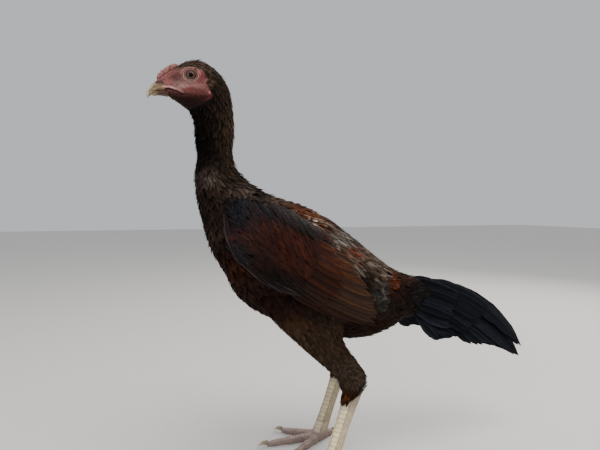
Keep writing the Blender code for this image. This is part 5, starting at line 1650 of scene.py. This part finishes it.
# The legs below the hock: bone and sinew in a sleeve of horny scales. Broad scutes overlap in two
# zigzag rows down the front and one row on each toe; small round scales cover the rest, and the
# soles are soft pads. They grow as one skin, moult and are pale cream here, with painted shade
# in the grooves between the scales.
LEG_SIDE = 0.0450
HOCK = (-0.0325, 0.0978)
ANKLE = (-0.0640, 0.0110)
SHANK_DEPTH = 0.0094
SHANK_WIDTH = 0.0077
SCUTE_PITCH = 0.0058
SCUTE_LIFT = 0.0010
SMALL_SCALE = 0.0024
# Each toe's turn outwards from straight ahead in degrees, and its length
TOES = ((-34.0, 0.052), (3.0, 0.076), (38.0, 0.058), (158.0, 0.027))
TOE_START = 0.0060
TOE_HEIGHT = 0.0120
TOE_HALF_WIDTH = 0.0057
TOE_PITCH = 0.0046
TOE_LIFT = 0.0013
TOE_RING_GAP = 0.00062
BALL_SIZES = (0.0120, 0.0108, 0.0085)


def plates(rank, beside, overlap=0.10):
    """Lift of shingled plates: it rises along each plate, drops at its free end and rounds off at its sides.

    rank counts plates along the limb, beside runs from -1 to 1 across a row of them.
    """
    f = rank % 1.0
    free_end = 1 - smooth_step(f, 1 - overlap, 1.0)
    return (0.35 + 0.65 * f) * free_end * (1 - np.abs(beside) ** 6)


def granules(a, b):
    """Lift of small round scales in staggered rows, one to each unit square of a and b."""
    b = b + 0.5 * (np.floor(a) % 2)
    fa, fb = 2 * (a % 1) - 1, 2 * (b % 1) - 1
    return np.clip(1 - fa**4, 0, 1) * np.clip(1 - fb**4, 0, 1)


def shank_rings(side, shift):
    """The shank: level ovals from hock to ankle, with scutes in front and granules behind."""
    at = np.linspace(-0.02, 1.03, 250)[:, None]
    turn = around(96)
    length = math.dist(HOCK, ANKLE)
    share = np.clip(at, 0, 1)
    deep = SHANK_DEPTH + 0.0016 * (1 - share) ** 4 + 0.0015 * share**6
    wide = SHANK_WIDTH + 0.0016 * (1 - share) ** 4 + 0.0015 * share**6
    waist = 1 - 0.05 * np.sin(share * math.pi) ** 2
    front = (turn - math.pi) / 1.25
    column = (front > 0.04 * np.sin(at * length / SCUTE_PITCH * 2 * math.pi)).astype(float)
    beside = np.where(column > 0, 2 * front - 1, 2 * front + 1)
    rank = at * length / SCUTE_PITCH + 0.5 * column + 0.10 * np.sin(front * 3)
    scutes = plates(rank, np.clip(beside, -1, 1)) * (np.abs(front) < 1)
    small = granules(at * length / SMALL_SCALE, turn / 0.32) * (np.abs(front) >= 1) * 0.45
    lift = (scutes + small) * SCUTE_LIFT
    x = HOCK[0] + shift + (ANKLE[0] - HOCK[0]) * at + (deep * waist + lift) * np.cos(turn)
    y = side * LEG_SIDE + (wide * waist + lift) * np.sin(turn)
    z = HOCK[1] + (ANKLE[1] - HOCK[1]) * at + 0 * turn
    return np.stack([x, y, z], axis=-1), (scutes + small)


def toe_rings(length):
    """A toe along +X: an oval with pads below, flat on the floor, scutes on top and granules at its sides."""
    at = np.linspace(0, 1, int(length / TOE_RING_GAP))[:, None]
    turn = around(48)
    blunt = 1 - 0.28 * at**12
    high = TOE_HEIGHT * (1 - 0.42 * at) * blunt
    wide = TOE_HALF_WIDTH * (1 - 0.36 * at) * (1 - 0.14 * np.cos(at * 6 * math.pi)) * blunt
    off = np.where(turn > math.pi, turn - 2 * math.pi, turn)
    rank = at * length / TOE_PITCH
    scutes = plates(rank, np.clip(off / 0.95, -1, 1), 0.12) * (np.abs(off) < 0.95)
    small = granules(at * length / 0.0020, turn / 0.36) * (np.abs(off) >= 0.95) * 0.40
    lift = (scutes + small) * TOE_LIFT
    z = high / 2 * (0.8 + np.cos(turn)) + lift * np.cos(turn)
    y = (wide + lift) * np.sin(turn) * (1 + 0.12 * np.cos(turn))
    x = TOE_START + at * (length - TOE_START) + 0 * y
    pads = 0.0006 * np.sin(at * 6 * math.pi) * np.clip(-np.cos(turn), 0, 1)
    return np.stack([x, y, np.maximum(z + pads, 0.0)], axis=-1), (scutes + small)


def placed(rings, degrees, at):
    """Rings turned about the upright axis and moved to a place on the floor."""
    c, s = math.cos(math.radians(degrees)), math.sin(math.radians(degrees))
    x, y, z = rings[..., 0], rings[..., 1], rings[..., 2]
    return np.stack([x * c - y * s + at[0], x * s + y * c + at[1], z], axis=-1)


def ball_rings(side, shift):
    """The ball of the foot: an ellipsoid, granular, flat where it meets the floor."""
    polar = np.linspace(0.02, math.pi - 0.02, 50)[:, None]
    turn = around(64)
    small = granules(polar / 0.20, turn / 0.20 * np.ones_like(polar)) * 0.35
    reach = 1 + small * 0.04
    x = ANKLE[0] + shift - 0.002 + BALL_SIZES[0] * reach * np.sin(polar) * np.cos(turn)
    y = side * LEG_SIDE + BALL_SIZES[1] * reach * np.sin(polar) * np.sin(turn)
    z = 0.0075 + BALL_SIZES[2] * reach * np.cos(polar) + 0 * turn
    return np.stack([x, y, np.maximum(z, 0.0)], axis=-1), small


def shank_and_ball(side, shift):
    """The shank and the ball of the foot, each with the lift of its scales."""
    return [shank_rings(side, shift), ball_rings(side, shift)]


def toes(side, shift):
    """The four toes of a foot, each with the lift of its scales."""
    made = []
    for turn, length in TOES:
        rings, lift = toe_rings(length)
        made.append((placed(rings, 180.0 - side * turn, (ANKLE[0] + shift, side * LEG_SIDE)), lift))
    return made


# Scale horn: satin, and waxy where light sinks in a little. Dust lies on it in specks finer than
# a millimetre; they are drawn as coarser patches, which show.
leg_horn, shader = new_material("leg_scale_horn")
place = node(leg_horn, "ShaderNodeTexCoord").outputs["Object"]
DUST_SIZE = 0.0031
dust = node(
    leg_horn, "ShaderNodeTexNoise", (("Scale", 1 / DUST_SIZE), ("Detail", 5.0), ("Roughness", 0.6)),
    (("Vector", place),),
)
shade = node(leg_horn, "ShaderNodeMapRange", (("To Min", 0.70), ("To Max", 1.30)), (("Value", dust.outputs["Fac"]),))
leg_horn.node_tree.links.new(tinted(leg_horn, shade.outputs["Result"]), shader.inputs["Base Color"])
node(
    leg_horn, "ShaderNodeBump", (("Strength", 0.35), ("Distance", 0.0003)),
    (("Height", dust.outputs["Fac"]), (shader.inputs["Normal"], "Normal")),
)
shader.inputs["Roughness"].default_value = 0.50
shader.inputs["Subsurface Weight"].default_value = 0.05
shader.inputs["Subsurface Radius"].default_value = (0.0012, 0.0008, 0.0005)

for name, build, nodes in (
    ("shank_scales", shank_and_ball, ("shank",)),
    ("toe_scales", toes, ("inner_toe", "middle_toe", "outer_toe", "hind_toe")),
):
    shapes, lifts = [], []
    for side, shift in ((-1, 0.0), (1, STRIDE)):
        for rings, lift in build(side, shift):
            shapes.append(rings)
            # the two last are those of the points that close the ends
            lifts.append(np.concatenate([lift.ravel(), [0.3, 0.3]]))
    points, quads, fans = merged(shapes)
    made = put_mesh(name, points, quads, fans, leg_horn, 50.0)
    lift = np.concatenate(lifts)[:, None]
    high = np.clip(points[:, 2:3] / 0.09, 0, 1)
    tone = faded(linear("#a08a80"), "#e3d1a8", smooth_step(high, 0.08, 0.40))
    # Painted shade: lifted scales lighter and the grooves between them darker
    tone = tone * (0.82 + 0.32 * lift)
    tone = faded(tone, "#8d8272", smooth_step(high, 0.86, 1.02) * 0.8)
    tone = tone * (1 + 0.12 * lumps(points, 0.010, 81) + 0.08 * lumps(points, 0.004, 82))[:, None]
    # Painted shade in the grooves between the scales
    tone = faded(tone, "#5a4840", np.clip(1 - lift * 1.9, 0, 1) * 0.8)
    # Painted shade: the right leg, the far one, darker above the lowest part of the foot
    tone = np.where((points[:, 1:2] > 0) & (high > 0.3), tone * 0.64, tone)
    tone = faded(tone, "#7a6a58", np.clip(1 - points[:, 2:3] / 0.0015, 0, 1) * 0.6)
    add_colours(made, "tint", np.clip(tone, 0.001, 1))
    add_map(made, points[:, (0, 1)] * LEG_MAP_SCALE + points[:, 2:3] * (0.0, 6.0) + (3.5, 0.4))
    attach(made, "root")
    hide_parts(*(f"{kind}_{suffix}" for kind in nodes for suffix in ("left", "right")))

# The cuff: loose feathers that hang from the end of the thigh's coat over the hock, long and
# dark in front with a rusty patch, short and dusty grey behind. They are soft keratin vanes.
CUFF_COUNT = 190
CUFF_STEPS = 6
CUFF_FRONT, CUFF_REAR = 0.0150, 0.0050
slope = (ANKLE[0] - HOCK[0]) / (ANKLE[1] - HOCK[1])
for side, shift, suffix in ((-1, 0.0, "left"), (1, STRIDE, "right")):
    rng = np.random.default_rng(53)
    turn = rng.uniform(0, 2 * math.pi, CUFF_COUNT)
    front = 0.5 - 0.5 * np.cos(turn)
    start = HOCK[1] + 0.0040 + 0.0095 * (1 - front) + rng.uniform(-0.0015, 0.0035, CUFF_COUNT)
    length = (CUFF_REAR + (CUFF_FRONT - CUFF_REAR) * front**1.5) * rng.uniform(0.65, 1.15, CUFF_COUNT)
    share = np.linspace(0, 1, CUFF_STEPS)[None, :]
    z = start[:, None] - length[:, None] * share
    away = np.clip((start[:, None] - HOCK[1]) / 0.010, 0, 1.5) * 0.0020 * (1 - share) ** 1.5
    away = away + 0.0004 + 0.0010 * np.sin(share * math.pi) * rng.uniform(0.3, 1.4, (CUFF_COUNT, 1))
    angle = turn[:, None] + rng.normal(0, 0.14, (CUFF_COUNT, 1)) * share
    x = HOCK[0] + shift + slope * (z - HOCK[1]) + (SHANK_DEPTH + 0.0022 + away) * np.cos(angle)
    y = side * LEG_SIDE + (SHANK_WIDTH + 0.0022 + away) * np.sin(angle)
    spine = np.stack([x, y, z], axis=-1)
    out = np.stack([np.cos(angle), np.sin(angle), 0 * angle], axis=-1)
    ahead = np.gradient(spine, axis=1)
    ahead /= np.linalg.norm(ahead, axis=-1, keepdims=True)
    half = (0.0008 + 0.0010 * front)[:, None] * vane_shape(CUFF_STEPS, np.full(CUFF_COUNT, 0.85))
    rust = front * (rng.random(CUFF_COUNT) < 0.5) * bump(start - HOCK[1] - 0.006, 0.006)
    tone = faded(linear("#17100b"), "#46250f", rust[:, None])
    grey = np.clip(1 - front * 2.2, 0, 1) * (rng.random(CUFF_COUNT) < 0.7)
    tone = faded(tone, "#8b837a", grey[:, None])
    tone = np.clip(tone * (1 + rng.normal(0, 0.25, (CUFF_COUNT, 1))), 0.001, 1)
    tints = np.broadcast_to(tone[:, None, None, :], (CUFF_COUNT, CUFF_STEPS, VANE_COLUMNS, 3))
    maps = np.stack([turn / (2 * math.pi), start * 12.0], axis=1)
    across = np.cross(ahead, out)
    cuff = vanes(f"cuff_feathers_{suffix}", spine, across, out, half, 0.10, 0.0002, tints, maps, contour_keratin)

# Claws: curved cones of horn that grow over the last bone of each toe. The ground wears them
# smooth; they are pale, and darker at the root.
CLAW_LENGTH = 0.0140
CLAW_RADIUS = 0.0030
CLAW_RINGS, CLAW_SIDES = 36, 24


def claw_rings(length):
    """A cone that curves down: radius * (1 - g)^0.7, kept clear of the floor."""
    g = np.linspace(0, 1, CLAW_RINGS)[:, None]
    turn = around(CLAW_SIDES)
    radius = CLAW_RADIUS * (1 - g) ** 0.7 + 0.00030
    x = length + CLAW_LENGTH * np.sin(g * 1.25) / math.sin(1.25) - 0.0006 * np.cos(turn) * g
    z = 0.0050 + 0.0010 * np.sin(g * math.pi) - 0.0038 * g**2 + radius * np.cos(turn)
    y = 0.8 * radius * np.sin(turn)
    return np.stack([x, y, np.maximum(z, 0.00005)], axis=-1)


shapes, names = [], []
for side, shift, suffix in ((-1, 0.0, "left"), (1, STRIDE, "right")):
    ankle = (ANKLE[0] + shift, side * LEG_SIDE)
    for (turn, length), toe in zip(TOES, ("inner", "middle", "outer", "hind")):
        shapes.append(placed(claw_rings(length - 0.0006), 180.0 - side * turn, ankle))
        names.append(f"{toe}_toe_claw_{suffix}")
points, quads, fans = merged(shapes)
claws = put_mesh("claws", points, quads, fans, horn)
each = np.concatenate([np.repeat(np.linspace(0, 1, CLAW_RINGS), CLAW_SIDES), [0, 1]])
g = np.tile(each, len(shapes))[:, None]
tone = faded(linear("#8b7c68"), "#b5a489", smooth_step(g, 0.1, 0.9))
add_colours(claws, "tint", tone * (1 + 0.1 * lumps(points, 0.004, 91))[:, None])
add_map(claws, points[:, :2] * LEG_MAP_SCALE + (4.5, 0.4))
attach(claws, "root")
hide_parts(*names)
